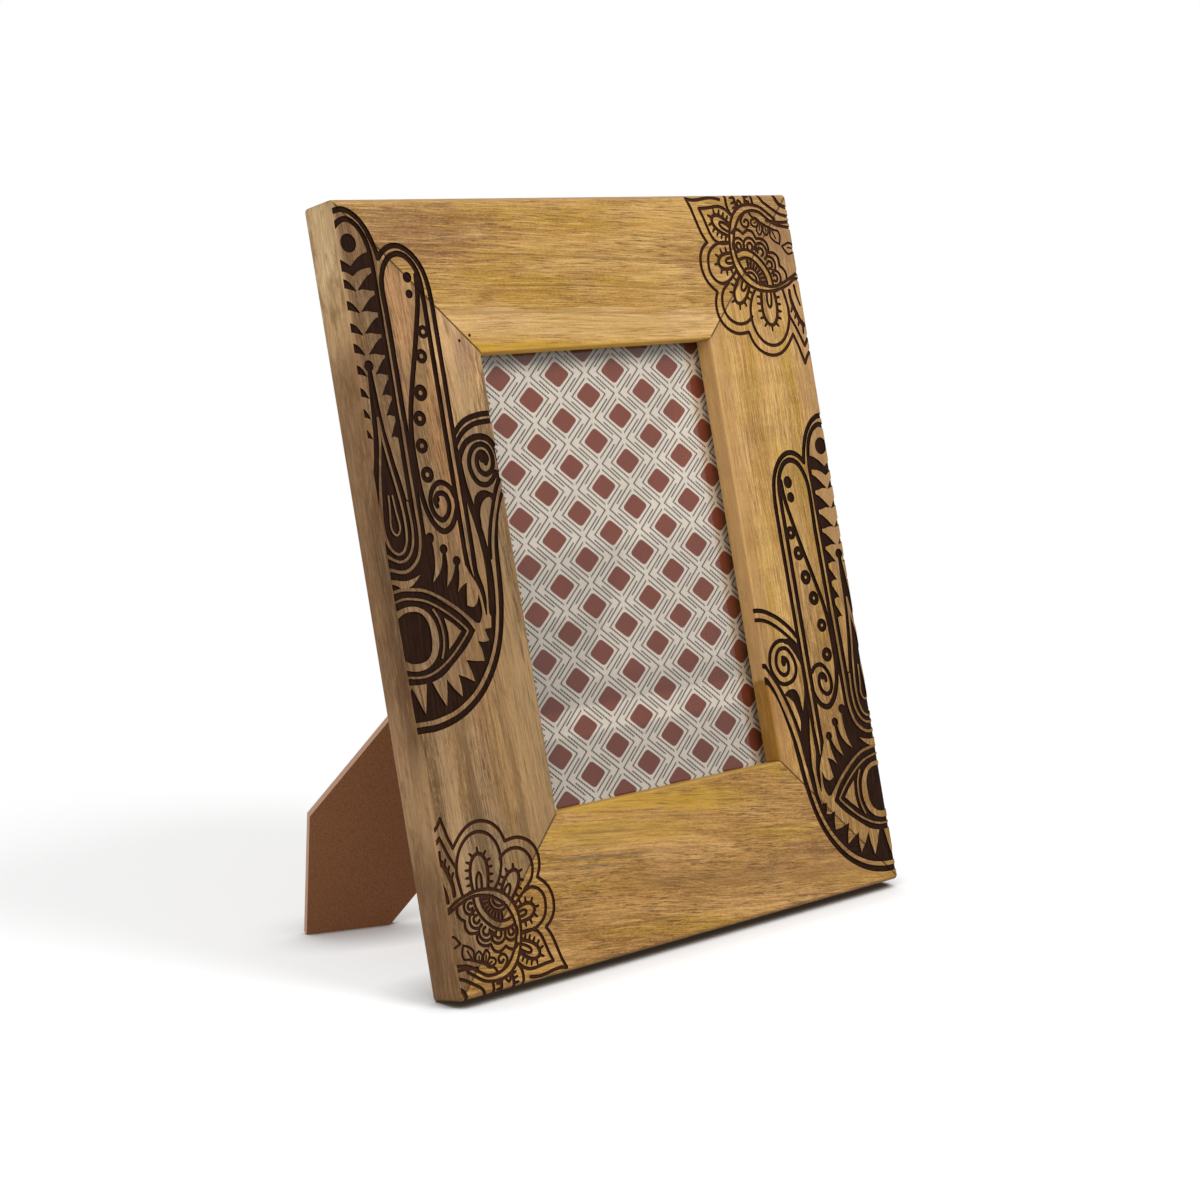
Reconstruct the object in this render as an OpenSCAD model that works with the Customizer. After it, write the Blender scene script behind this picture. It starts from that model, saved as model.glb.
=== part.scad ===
// Wooden picture frame with a mitred, rebated moulding and a diagonal easel strut.
// Millimetres. +Z is up, +Y is away from the viewer, and the frame stands as it does on a table,
// leaning back on its strut. The origin is on the table, at the middle of the footprint.

/* [Moulding] */
// Width of the picture opening seen from the front
window_w = 120; // [80:0.5:220]
// Height of the picture opening seen from the front
window_h = 170.8; // [130:0.2:300]
// Width of each rail and stile across its face
rail_w = 58; // [52:0.5:80]
// Thickness of the moulding, front to back
rail_t = 16; // [15:0.5:24]
// Depth of wood in front of the glass
lip_t = 8; // [6:0.5:8]
// How far the wood laps over each edge of the glass
lap = 3.5; // [2:0.1:6]
// Radius of the worn front edges
front_ease = 2; // [0.5:0.1:3]
// Radius of the sanded back edges
back_ease = 1; // [0.4:0.1:2]

/* [Picture stack] */
// Thickness of the glass
glass_t = 2; // [1.5:0.1:2.5]
// Thickness of the picture sheet
print_t = 0.4; // [0.2:0.05:0.8]
// Thickness of the backing board
board_t = 3; // [2:0.1:4]
// Gap round the glass, sheet, card and board inside the rebate
rebate_clear = 1; // [0.3:0.1:2]

/* [Mitre nails] */
// Distance of the outer nail from the two outer edges of its corner
nail_near = 20; // [10:0.5:24]
// Distance of the inner nail from the two outer edges of its corner
nail_far = 38; // [32:0.5:42]
// Length of each leg of a nail
nail_leg = 7; // [4:0.5:8]
// Thickness of a nail's steel
nail_t = 0.6; // [0.4:0.1:1]
// Depth of a nail from front to back
nail_h = 8; // [5:0.5:9]
// How far a nail is driven below the back of the wood
nail_sunk = 0.5; // [0.2:0.1:1]
// Gap between a nail and its slot
nail_clear = 0.04; // [0.02:0.01:0.1]

/* [Turn buttons] */
// Distance of a button's screw from the edge of the rebate
button_inset = 8; // [6.5:0.5:12]
// Distance from a button's screw to the centre of its tip
button_reach = 13; // [11:0.5:16]
// Radius of a button round its screw
button_root_r = 5; // [4:0.1:6]
// Radius of a button's tip
button_tip_r = 3.2; // [2.2:0.1:3.8]
// Thickness of a button
button_t = 1; // [0.6:0.1:1.6]
// Radius of a button screw's shank
screw_r = 1.5; // [1.2:0.1:2]
// Radius of a button screw's head
screw_head_r = 3; // [2.5:0.1:3.8]
// Height of a button screw's head
screw_head_h = 1.4; // [1:0.1:2]
// Length of a button screw's shank inside the wood
screw_bite = 10; // [6:0.5:12]
// Width of the slot in a screw's head
screw_slot_w = 0.7; // [0.5:0.1:1]

/* [Strut] */
// Angle that the frame leans back from upright
lean = 13; // [10:0.5:16]
// Angle that the strut opens from the back of the frame
swing = 32; // [28:0.5:36]
// Width of the strut
strut_w = 59; // [45:1:64]
// Thickness of the strut
strut_t = 3.5; // [2.5:0.1:5]
// Distance of the strut's point from its own centreline
tip_offset = 3; // [0:0.5:6]
// Gap between the closed strut and the back of the wood
strut_gap = 0.3; // [0.2:0.05:0.6]

/* [Hinge] */
// Length of the hinge along its pin
hinge_len = 50; // [40:1:52]
// Height of the leaf fixed to the backing board, from the pin's axis
fixed_leaf_h = 14; // [12:0.5:20]
// Height of the leaf fixed to the strut, from the pin's axis
strut_leaf_h = 16; // [14:0.5:22]
// Thickness of the leaves
leaf_t = 0.8; // [0.6:0.1:1.2]
// Radius of the hinge pin
pin_r = 1; // [0.7:0.05:1.2]
// Radius of the pin's peened ends
pin_head_r = 1.6; // [1.3:0.05:1.8]
// Thickness of the pin's peened ends
pin_head_t = 0.6; // [0.4:0.1:1]
// Length of the lugs that stop the strut when it is open
lug_len = 6; // [4:0.5:8]
// Gap between an open lug and the fixed leaf
lug_gap = 0.1; // [0.05:0.05:0.2]
// Gap along the pin between neighbouring knuckles
knuckle_gap = 0.3; // [0.2:0.05:0.6]
// Distance of a rivet from the pin's axis
rivet_drop = 9; // [8:0.5:10]
// Distance between the two rivets of a leaf
rivet_pitch = 30; // [20:1:34]
// Radius of a rivet's shank
rivet_r = 1.5; // [1:0.1:2]
// Radius of a rivet's head and of its clinched end
rivet_head_r = 3; // [2.4:0.1:3.6]
// Height of a rivet's head
rivet_head_h = 0.9; // [0.6:0.1:1.2]
// Thickness of a rivet's clinched end
clinch_t = 0.6; // [0.4:0.1:0.9]

/* [Hidden] */
$fn = 48;

// Radial gap of a turning fit, and the gap of flat pieces that slide on each other
running_clear = 0.08;
slide_gap = 0.1;
// Radial gap of a shank in the hole that it is fastened in
fixed_clear = 0.03;
// Extra length that takes a cut clear through a face
through = 1;
// Number of knuckles on the hinge, the odd ones on the fixed leaf
knuckles = 5;
// How far a button's straight flanks start inside its round ends
flank_inset = 0.02;

frame_w = window_w + 2 * rail_w;
frame_h = window_h + 2 * rail_w;
sheet_w = window_w + 2 * lap;
sheet_h = window_h + 2 * lap;
card_t = rail_t - lip_t - glass_t - print_t - board_t;
print_y = lip_t + glass_t;
card_y = print_y + print_t;
board_y = card_y + card_t;
// Place of a rail's rebate edge and of its button screw, across the rail from its outer edge
rebate_edge = rail_w - lap - rebate_clear;
button_line = rebate_edge - button_inset;
button_y = rail_t + slide_gap;
screw_head_y = button_y + button_t + slide_gap;

// The closed hinge is as thick as the gap, the strut and the leaf together
knuckle_r = (strut_gap + strut_t + leaf_t) / 2;
knuckle_len = (hinge_len - (knuckles - 1) * knuckle_gap) / knuckles;
pin_y = rail_t + knuckle_r;
strut_in = strut_gap - knuckle_r;
strut_out = strut_in + strut_t;
strut_top = knuckle_r + knuckle_gap;
// The strut points at a corner of the frame when it is closed
strut_turn = atan(frame_w / frame_h);
// Height of the table above the sharp corner that the back edge's rounding takes away
table = back_ease * (sin(lean) + cos(lean) - 1);
// Drop towards the table for each millimetre along the strut, and rise along its outward normal
drop = cos(swing) * cos(strut_turn) * cos(lean) + sin(swing) * sin(lean);
rise = sin(swing) * cos(strut_turn) * cos(lean) - cos(swing) * sin(lean);
// Length from the pin to the point, which reaches the table
strut_len = (frame_h / 2 * cos(lean) - knuckle_r * sin(lean) + strut_in * rise - table) / drop;
// Slope of the foot for the upright frame, and for the frame stood on its left side
foot_slope = sin(strut_turn) * cos(lean) / drop;
side_lean_tan = (frame_w / 2 / strut_len - cos(swing) * sin(strut_turn)) / sin(swing);
side_slope = cos(strut_turn) / (cos(swing) * sin(strut_turn) + sin(swing) * side_lean_tan);
// Nearest and farthest reach of the footprint, before it is centred
front_reach = (front_ease - rail_t) * cos(lean) + front_ease * sin(lean) - front_ease;
tip_back = knuckle_r + strut_len * sin(swing) + strut_out * cos(swing);
tip_height = frame_h / 2 - cos(strut_turn) * (strut_len * cos(swing) - strut_out * sin(swing));
back_reach = tip_back * cos(lean) + tip_height * sin(lean);

// Stands pieces drawn on the upright frame on the table: x across, y back from the face, z up
module stood() {
    translate([0, -(front_reach + back_reach) / 2, -table])
        rotate([-lean, 0, 0])
            translate([0, -rail_t, 0])
                children();
}

// Extrudes an outline of x and z from one depth behind the face to another
module between(y0, y1) {
    translate([0, y1, 0])
        rotate([90, 0, 0])
            linear_extrude(height = y1 - y0)
                children();
}

// Cylinder along y from one depth to another
module rod(r, y0, y1) {
    translate([0, y0, 0])
        rotate([-90, 0, 0])
            cylinder(r = r, h = y1 - y0);
}

// Square corner piece with its quarter circle left out, to ease an edge
module easing(r) {
    difference() {
        translate([-through, -through])
            square(r + through);
        translate([r, r])
            circle(r);
    }
}

// Section of the moulding: x across from the outer edge, y back from the face
module rail_section() {
    difference() {
        square([rail_w, rail_t]);
        translate([rebate_edge, lip_t])
            square([lap + rebate_clear + through, rail_t]);
        easing(front_ease);
        translate([rail_w, 0])
            mirror([1, 0])
                easing(front_ease);
        translate([0, rail_t])
            mirror([0, 1])
                easing(back_ease);
    }
}

// Copies a corner's pieces to all four corners
module at_corners() {
    for (x = [0, 1])
        for (z = [0, 1])
            translate([0, 0, frame_h / 2])
                mirror([x, 0, 0])
                    mirror([0, 0, z])
                        translate([-frame_w / 2, 0, -frame_h / 2])
                            children();
}

// The two V-shaped nails of one corner, grown by a gap
module corner_nails(gap) {
    for (at = [nail_near, nail_far])
        between(rail_t - nail_sunk - nail_h - gap, rail_t - nail_sunk + gap)
            translate([at, at]) {
                translate([-nail_t / 2 - gap, -nail_t / 2 - gap])
                    square([nail_leg + nail_t / 2 + 2 * gap, nail_t + 2 * gap]);
                translate([-nail_t / 2 - gap, -nail_t / 2 - gap])
                    square([nail_t + 2 * gap, nail_leg + nail_t / 2 + 2 * gap]);
            }
}

// Narrow openings through which the nails were driven, open to the back of the wood
module nail_slots() {
    at_corners() corner_nails(nail_clear);
}

// A length of moulding lying along x with its outer edge at z = 0, mitred and drilled
module rail(length) {
    difference() {
        intersection() {
            rotate([0, -90, 0])
                linear_extrude(height = length, center = true)
                    rail_section();
            between(-through, rail_t + through)
                polygon([
                    [-length / 2, 0], [length / 2, 0],
                    [length / 2 - rail_w, rail_w], [rail_w - length / 2, rail_w]]);
        }
        translate([0, 0, button_line])
            rod(screw_r + fixed_clear, rail_t - screw_bite - slide_gap, rail_t + through);
    }
}

module bottom_rail() {
    color("#b3854c") stood() difference() {
        rail(frame_w);
        nail_slots();
    }
}

module top_rail() {
    color("#bd8a45") stood() difference() {
        translate([0, 0, frame_h])
            mirror([0, 0, 1])
                rail(frame_w);
        nail_slots();
    }
}

module left_stile() {
    color("#9c7a56") stood() difference() {
        translate([-frame_w / 2, 0, frame_h / 2])
            rotate([0, 90, 0])
                rail(frame_h);
        nail_slots();
    }
}

module right_stile() {
    color("#a87d48") stood() difference() {
        translate([frame_w / 2, 0, frame_h / 2])
            rotate([0, -90, 0])
                rail(frame_h);
        nail_slots();
    }
}

module mitre_nails() {
    color("silver") stood() at_corners() corner_nails(0);
}

// Sheet of the picture's size between two depths
module sheet(y0, thickness) {
    between(y0, y0 + thickness)
        translate([-sheet_w / 2, (frame_h - sheet_h) / 2])
            square([sheet_w, sheet_h]);
}

module glass_pane() {
    color("lightblue", 0.4) stood() sheet(lip_t, glass_t);
}

module picture_sheet() {
    color("#8b4a3c") stood() sheet(print_y, print_t);
}

module filler_card() {
    color("#b9a27c") stood() sheet(card_y, card_t);
}

// Puts pieces at the middle of the hinge pin, x along the pin and z up along the strut
module at_hinge() {
    translate([0, pin_y, frame_h / 2])
        rotate([0, strut_turn, 0])
            translate([-tip_offset, 0, 0])
                children();
}

// The places of a leaf's two rivets, to one side of the pin
module at_rivets(side) {
    for (x = [-rivet_pitch / 2, rivet_pitch / 2])
        translate([x, 0, side * rivet_drop])
            children();
}

// Hole for a rivet and the recess for its clinched end
module rivet_hole(inner, outer) {
    rod(rivet_r + fixed_clear, inner - through, outer + through);
    rod(rivet_head_r + fixed_clear, inner - through, inner + clinch_t);
}

// Rivet through a board whose faces are at two depths, with a leaf on the outer face
module rivet(inner, outer) {
    rod(rivet_head_r, inner, inner + clinch_t);
    rod(rivet_r, inner, outer + leaf_t + rivet_head_h / 2);
    rod(rivet_head_r, outer + leaf_t, outer + leaf_t + rivet_head_h);
}

module backing_board() {
    color("#8a6242") stood() difference() {
        sheet(board_y, board_t);
        at_hinge() at_rivets(1) rivet_hole(board_y - pin_y, rail_t - pin_y);
    }
}

module board_rivets() {
    color("silver") stood() at_hinge() at_rivets(1) rivet(board_y - pin_y, rail_t - pin_y);
}

// Plate of a turn button, from its screw at the middle to its tip along x
module button_plate(y0, y1) {
    // The flanks start a hair inside the round ends, so that the three shapes overlap
    flank_root = button_root_r - flank_inset;
    flank_tip = button_tip_r - flank_inset;
    wrap = acos((button_root_r - button_tip_r) / button_reach);
    union() {
        rod(button_root_r, y0, y1);
        translate([button_reach, 0, 0])
            rod(button_tip_r, y0, y1);
        between(y0, y1)
            polygon([
                [flank_root * cos(wrap), flank_root * sin(wrap)],
                [button_reach + flank_tip * cos(wrap), flank_tip * sin(wrap)],
                [button_reach + flank_tip * cos(wrap), -flank_tip * sin(wrap)],
                [flank_root * cos(wrap), -flank_root * sin(wrap)]]);
    }
}

// Distances of the button screws from the middle of the frame
button_x = frame_w / 2 - button_line;
button_z = frame_h / 2 - button_line;

// A button screwed at a distance out from the middle of the frame, pointing in at the board
module turn_button(out, turn) {
    color("#c8a24a") stood() translate([0, 0, frame_h / 2]) rotate([0, turn, 0])
        translate([-out, 0, 0]) difference() {
            button_plate(button_y, button_y + button_t);
            rod(screw_r + running_clear, rail_t, screw_head_y);
        }
}

module turn_button_left() {
    turn_button(button_x, 0);
}

module turn_button_top() {
    turn_button(button_z, 90);
}

module turn_button_right() {
    turn_button(button_x, 180);
}

module turn_button_bottom() {
    turn_button(button_z, -90);
}

// Slotted screw along y, with the underside of its head above a button
module screw() {
    rod(screw_r, rail_t - screw_bite, screw_head_y + screw_head_h / 2);
    difference() {
        rod(screw_head_r, screw_head_y, screw_head_y + screw_head_h);
        translate([-screw_head_r, screw_head_y + screw_head_h / 2, -screw_slot_w / 2])
            cube([2 * screw_head_r, screw_head_h, screw_slot_w]);
    }
}

module turn_button_screws() {
    color("silver") stood() translate([0, 0, frame_h / 2]) {
        for (side = [-1, 1]) {
            translate([side * button_x, 0, 0]) screw();
            translate([0, 0, side * button_z]) screw();
        }
    }
}

// Length of pin taken by knuckle number i, with an extra gap at each end
module knuckle_span(i, gap) {
    start = -hinge_len / 2 + i * (knuckle_len + knuckle_gap) - gap;
    translate([start, 0, 0])
        rotate([0, 90, 0])
            cylinder(r = knuckle_r + gap, h = knuckle_len + 2 * gap);
}

// Clear space for the other leaf's knuckle number i, from the barrel out past the plate
module knuckle_notch(i) {
    start = -hinge_len / 2 + i * (knuckle_len + knuckle_gap) - knuckle_gap;
    reach = knuckle_r + knuckle_gap;
    translate([start, -reach, -reach])
        cube([knuckle_len + 2 * knuckle_gap, 2 * reach, 2 * reach]);
}

// Bore for the pin through the whole hinge
module pin_bore() {
    translate([-hinge_len / 2 - through, 0, 0])
        rotate([0, 90, 0])
            cylinder(r = pin_r + running_clear, h = hinge_len + 2 * through);
}

module hinge_fixed_leaf() {
    color("#c8a24a") stood() at_hinge() difference() {
        union() {
            difference() {
                translate([-hinge_len / 2, -knuckle_r, 0])
                    cube([hinge_len, leaf_t, fixed_leaf_h]);
                for (i = [1:2:knuckles - 1]) knuckle_notch(i);
            }
            for (i = [0:2:knuckles - 1]) knuckle_span(i, 0);
        }
        pin_bore();
        at_rivets(1) rod(rivet_r + fixed_clear, -knuckle_r - through, through);
    }
}

// Puts pieces drawn on the closed strut at the angle that it opens to
module opened() {
    at_hinge() rotate([swing, 0, 0]) children();
}

// Lug on knuckle number i that lies along the fixed leaf when the strut is open
module stop_lug(i) {
    start = -hinge_len / 2 + i * (knuckle_len + knuckle_gap);
    root = (pin_r + knuckle_r) / 2;
    rotate([-swing, 0, 0])
        translate([start, -knuckle_r + leaf_t + lug_gap, root])
            cube([knuckle_len, leaf_t, lug_len - root]);
}

module hinge_strut_leaf() {
    color("#c8a24a") stood() opened() difference() {
        union() {
            difference() {
                translate([-hinge_len / 2, knuckle_r - leaf_t, -strut_leaf_h])
                    cube([hinge_len, leaf_t, strut_leaf_h]);
                for (i = [0:2:knuckles - 1]) knuckle_notch(i);
            }
            for (i = [1:2:knuckles - 1]) {
                knuckle_span(i, 0);
                stop_lug(i);
            }
        }
        pin_bore();
        at_rivets(-1) rod(rivet_r + fixed_clear, 0, knuckle_r + through);
    }
}

module hinge_pin() {
    color("silver") stood() at_hinge() rotate([0, 90, 0]) {
        cylinder(r = pin_r, h = hinge_len + 2 * slide_gap + pin_head_t, center = true);
        for (side = [0, 1])
            mirror([0, 0, side])
                translate([0, 0, hinge_len / 2 + slide_gap])
                    cylinder(r = pin_head_r, h = pin_head_t);
    }
}

// Outline of the strut, x along the pin and y up towards it, ending in a point
module strut_outline() {
    left = -strut_w / 2;
    right = strut_w / 2;
    polygon([
        [left, -strut_top], [right, -strut_top],
        [right, -strut_len + (right - tip_offset) * foot_slope],
        [tip_offset, -strut_len],
        [left, -strut_len + (tip_offset - left) * side_slope]]);
}

module strut_board() {
    color("#9a6b47") stood() opened() difference() {
        between(strut_in, strut_out) strut_outline();
        at_rivets(-1) rivet_hole(strut_in, strut_out);
    }
}

module strut_rivets() {
    color("silver") stood() opened() at_rivets(-1) rivet(strut_in, strut_out);
}

top_rail();
bottom_rail();
left_stile();
right_stile();
mitre_nails();
glass_pane();
picture_sheet();
filler_card();
backing_board();
turn_button_top();
turn_button_bottom();
turn_button_left();
turn_button_right();
turn_button_screws();
hinge_fixed_leaf();
hinge_pin();
board_rivets();
strut_board();
hinge_strut_leaf();
strut_rivets();
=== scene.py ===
"""Looks of the wooden picture frame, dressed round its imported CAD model.

Sizes are in millimetres in the leaning frame's own axes: x right, y back from the face and z up the frame.
"""

import math

import bmesh
import bpy
from mathutils import Matrix, Vector
from mathutils.geometry import convex_hull_2d, delaunay_2d_cdt


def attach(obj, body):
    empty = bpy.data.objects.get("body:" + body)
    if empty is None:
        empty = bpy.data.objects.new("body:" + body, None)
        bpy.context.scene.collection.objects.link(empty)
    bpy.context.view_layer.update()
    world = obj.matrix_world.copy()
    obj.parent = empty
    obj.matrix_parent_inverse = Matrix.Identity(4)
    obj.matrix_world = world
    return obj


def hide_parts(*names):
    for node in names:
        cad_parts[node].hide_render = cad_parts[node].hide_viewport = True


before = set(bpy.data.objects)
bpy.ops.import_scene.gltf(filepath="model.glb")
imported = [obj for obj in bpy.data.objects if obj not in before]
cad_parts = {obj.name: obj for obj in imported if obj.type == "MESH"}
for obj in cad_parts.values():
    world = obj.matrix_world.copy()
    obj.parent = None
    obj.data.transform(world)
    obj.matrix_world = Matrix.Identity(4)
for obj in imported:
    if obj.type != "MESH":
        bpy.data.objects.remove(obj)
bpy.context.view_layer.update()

# Sizes of the frame
MM = 0.001
FRAME_W = 236
FRAME_H = 286.8
RAIL_W = 58
RAIL_T = 16
LIP_T = 8
REBATE_EDGE = 53.5
OUTER_EASE = 2
INNER_EASE = 0.9
BACK_EASE = 1
CORNER_R = 1.7
MITRE_BEVEL = 0.35
MITRE_DROP = 0.8
STATION_PITCH = 12
LEAN = math.radians(13)
BACK_FOOT = (0, -44.112, -0.1993)

# Depth of the burnt marks, from CUT_AT_EDGE at the outer edge to CUT at FADE from it
CUT = 0.6
CUT_AT_EDGE = 0.3
FADE = 1.2

# Drawing: what a burn adds to a line's width, the spline's samples, and where lines run off the left edge
SPREAD = 0.38
TURN_PER_SAMPLE = 9
SHORTEST_SAMPLE = 0.3
SAME_PLACE = 0.02
OFF = -119.5

STAND = (
    Matrix.Translation(Vector(BACK_FOOT) * MM)
    @ Matrix.Rotation(-LEAN, 4, "X")
    @ Matrix.Translation((0, -RAIL_T * MM, 0))
    @ Matrix.Scale(MM, 4)
)


# Drawing: a mark is a kind and a small polygon, and later marks cover earlier ones

BARE, BURNT, TOAST, SMOKED = 0, 1, 2, 3
SCORCH = {BARE: 0.0, BURNT: 1.0, TOAST: 0.5, SMOKED: 0.2}


def turn_between(a, b):
    """Angle in degrees between two directions."""
    if a.length < 1e-9 or b.length < 1e-9:
        return 0
    return math.degrees(a.angle(b))


def smooth(points):
    """A centripetal spline through the points, with a sample for about every 9 degrees of turn."""
    pts = [Vector(p) for p in points]
    if len(pts) == 2:
        return pts
    knots = [2 * pts[0] - pts[1]] + pts + [2 * pts[-1] - pts[-2]]
    out = []
    for p0, p1, p2, p3 in zip(knots, knots[1:], knots[2:], knots[3:]):
        a, b, c = ((q - p).length ** 0.5 for p, q in ((p0, p1), (p1, p2), (p2, p3)))
        step = p2 - p1
        start = step + b * ((p1 - p0) / a - (p2 - p0) / (a + b))
        end = step + b * ((p3 - p2) / c - (p3 - p1) / (b + c))
        turn = turn_between(p1 - p0, step) + turn_between(step, p3 - p2)
        count = max(1, min(math.ceil(turn / TURN_PER_SAMPLE), math.ceil(step.length / SHORTEST_SAMPLE)))
        for i in range(count):
            t = i / count
            out.append(
                (2 * t**3 - 3 * t**2 + 1) * p1
                + (t**3 - 2 * t**2 + t) * start
                + (3 * t**2 - 2 * t**3) * p2
                + (t**3 - t**2) * end
            )
    return out + [pts[-1]]


def disc(centre, radius, kind=BURNT, squash=1.0, power=2.0, sides=28):
    """A filled round or rounded-square spot."""
    outline = []
    for i in range(sides):
        a = 2 * math.pi * i / sides
        c, s = math.cos(a), math.sin(a)
        x = centre[0] + radius * math.copysign(abs(c) ** (2 / power), c)
        z = centre[1] + radius * squash * math.copysign(abs(s) ** (2 / power), s)
        outline.append(Vector((x, z)))
    return [(kind, outline)]


def stroke(points, width, kind=BURNT, straight=False, caps=True):
    """A line of even width, or of a width that runs from the first to the second of a pair."""
    path = [Vector(p) for p in points] if straight else smooth(points)
    w0, w1 = width if isinstance(width, tuple) else (width, width)
    if kind == BURNT:
        w0, w1 = w0 + SPREAD, w1 + SPREAD
    steps = [(q - p).normalized() for p, q in zip(path, path[1:])]
    sides = []
    for i, p in enumerate(path):
        into, out = steps[max(0, i - 1)], steps[min(i, len(steps) - 1)]
        along = (into + out).normalized()
        stretch = 1 / max(0.5, along.dot(out))
        normal = Vector((-along.y, along.x)) * stretch
        half = (w0 + (w1 - w0) * i / len(steps)) / 2
        sides.append((p + normal * half, p - normal * half))
    marks = []
    for here, there in zip(sides, sides[1:]):
        quad = [*here, *there]
        marks.append((kind, [quad[k] for k in convex_hull_2d(quad)]))
    if caps:
        marks += disc(path[0], w0 / 2, kind, sides=10)
        marks += disc(path[-1], w1 / 2, kind, sides=10)
    return marks


def bent(runs, width):
    """Smooth burnt runs joined at sharp corners."""
    marks = []
    for run in runs:
        marks += stroke(run, width)
    return marks


def area(*runs, kind=BURNT):
    """A filled outline made of smooth runs, with corners where two runs meet."""
    outline = []
    for run in runs:
        for p in smooth(run):
            if not outline or (p - outline[-1]).length > SAME_PLACE:
                outline.append(p)
    if (outline[0] - outline[-1]).length < SAME_PLACE:
        outline.pop()
    return [(kind, outline)]


def ring(centre, radius, width):
    """A bead: a burnt disc with a clear hole."""
    return disc(centre, radius) + disc(centre, radius - width, SMOKED, sides=14)


# The hand with an eye, as burnt on the left stile


def middle_finger():
    """Two outlines, leaves on both sides and a ball-headed drop with loops round its foot."""
    marks = area([(-113.8, 225), (-114.4, 218), (-115, 211), (-115.7, 203), (-117.5, 190.5),
        (-118.5, 184.5), (OFF, 178)], [(OFF, 151), (-112, 149.4), (-104, 151.5), (-99.9, 155)],
        [(-99.9, 178), (-105.6, 178)], [(-105.7, 178), (-106.8, 185), (-108, 190.4), (-109.1, 197),
        (-110.2, 203), (-110.9, 211), (-111.3, 218), (-111.8, 225)],)
    marks += disc((-112.8, 226.7), 2.1)
    marks += stroke([(OFF, 282), (-113.5, 283.1), (-108.5, 280.8), (-104.5, 276), (-102.2, 270.5),
        (-100.7, 265.6)], 1.8)
    marks += stroke([(OFF, 275.2), (-116.4, 278.4), (-112.8, 279.6), (-109.1, 277.9), (-106.1, 273.9),
        (-104.3, 268), (-103.8, 260), (-103.9, 252), (-103.9, 174)], 1.8)
    marks += disc((-113, 270.9), 3.45)
    marks += area(
        [(OFF, 267), (-116.5, 264.5), (-113.6, 262.7)],
        [(-113.6, 262.7), (-110.5, 265.3), (-107, 267.1), (-104, 267.7)],
        [(-104, 261.9), (-108, 261.5), (-111, 260.5), (-113.3, 258.9)],
        [(-113.3, 258.9), (-115.8, 260.3), (OFF, 261.5)],
    )
    right_tips = [(-112.5, 253.8), (-112.4, 246), (-112.5, 238.1), (-112.1, 230.6), (-110.4, 223.4),
        (-109.1, 215.8), (-108.6, 208.4), (-108, 200.6)]
    for x, z in right_tips:
        reach = -103.9 - x
        marks += area([(x, z), (x + reach * 0.4, z + 3.4), (x + reach * 0.7, z + 5.4), (-103.9, z + 6.5)],
            [(-103.9, z - 0.5), (x + reach * 0.66, z - 0.2), (x + reach * 0.33, z + 0.3), (x, z)])
    left_tips = [(-113.9, 253.8), (-113.8, 246), (-113.9, 238), (-114.5, 230.8), (-115.3, 223.2),
        (-116, 215.3), (-116.8, 208), (-117.3, 200.8)]
    for x, z in left_tips:
        reach = x + 120.4
        marks += area([(OFF, z + 5.5), (x + 1.2 - reach * 0.42, z + 3.1), (x + 1.2, z - 0.4)],
            [(x + 1.2, z - 0.4), (x + 1.2 - reach * 0.5, z + 0.5), (OFF, z + 1.6)])
    marks += foot_loops()
    return marks


def foot_loops():
    """The clear lines inside the drop and the loops under it."""
    marks = stroke([(-112.6, 208), (-113.3, 199.5), (-114.2, 194.9), (-115.2, 190.2), (-116.2, 184.9),
        (-117, 178.5), (-117.6, 171), (-117.2, 164.5), (-115.6, 160.6), (-113, 159.1), (-110.6, 160),
        (-108.9, 162.8), (-108.1, 167), (-108, 172), (-108.5, 177.5), (-109.4, 184), (-110.3, 189),
        (-111.2, 195), (-112, 200.5), (-112.6, 208)], 0.95, TOAST)
    marks += stroke([(-113.5, 180), (-113.9, 175), (-114.4, 171.3), (-114.5, 168.6), (-113.7, 166.6),
        (-112.5, 165.9), (-111.2, 166.9), (-110.6, 169), (-111, 172.2), (-111.4, 175.8), (-111.7, 180)],
        0.75, TOAST)
    marks += stroke([(-105.6, 177), (-105.2, 170.4), (-105.5, 164.9), (-106.5, 161.2), (-108.6, 158.1),
        (-111, 156.6), (-113.2, 156.4), (-115.5, 157.2), (-117.3, 158.5), (OFF, 161)], 0.95, TOAST)
    marks += stroke([(-102.2, 206), (-102.3, 195), (-102.2, 172), (-102.4, 164.5), (-103.3, 160.2),
        (-104.6, 157.2), (-106.4, 155.2), (-108.6, 153.6), (-111, 152.7), (-113.2, 152.7), (-115.5, 153.2),
        (OFF, 154.8)], 1.15, TOAST)
    return marks


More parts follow.
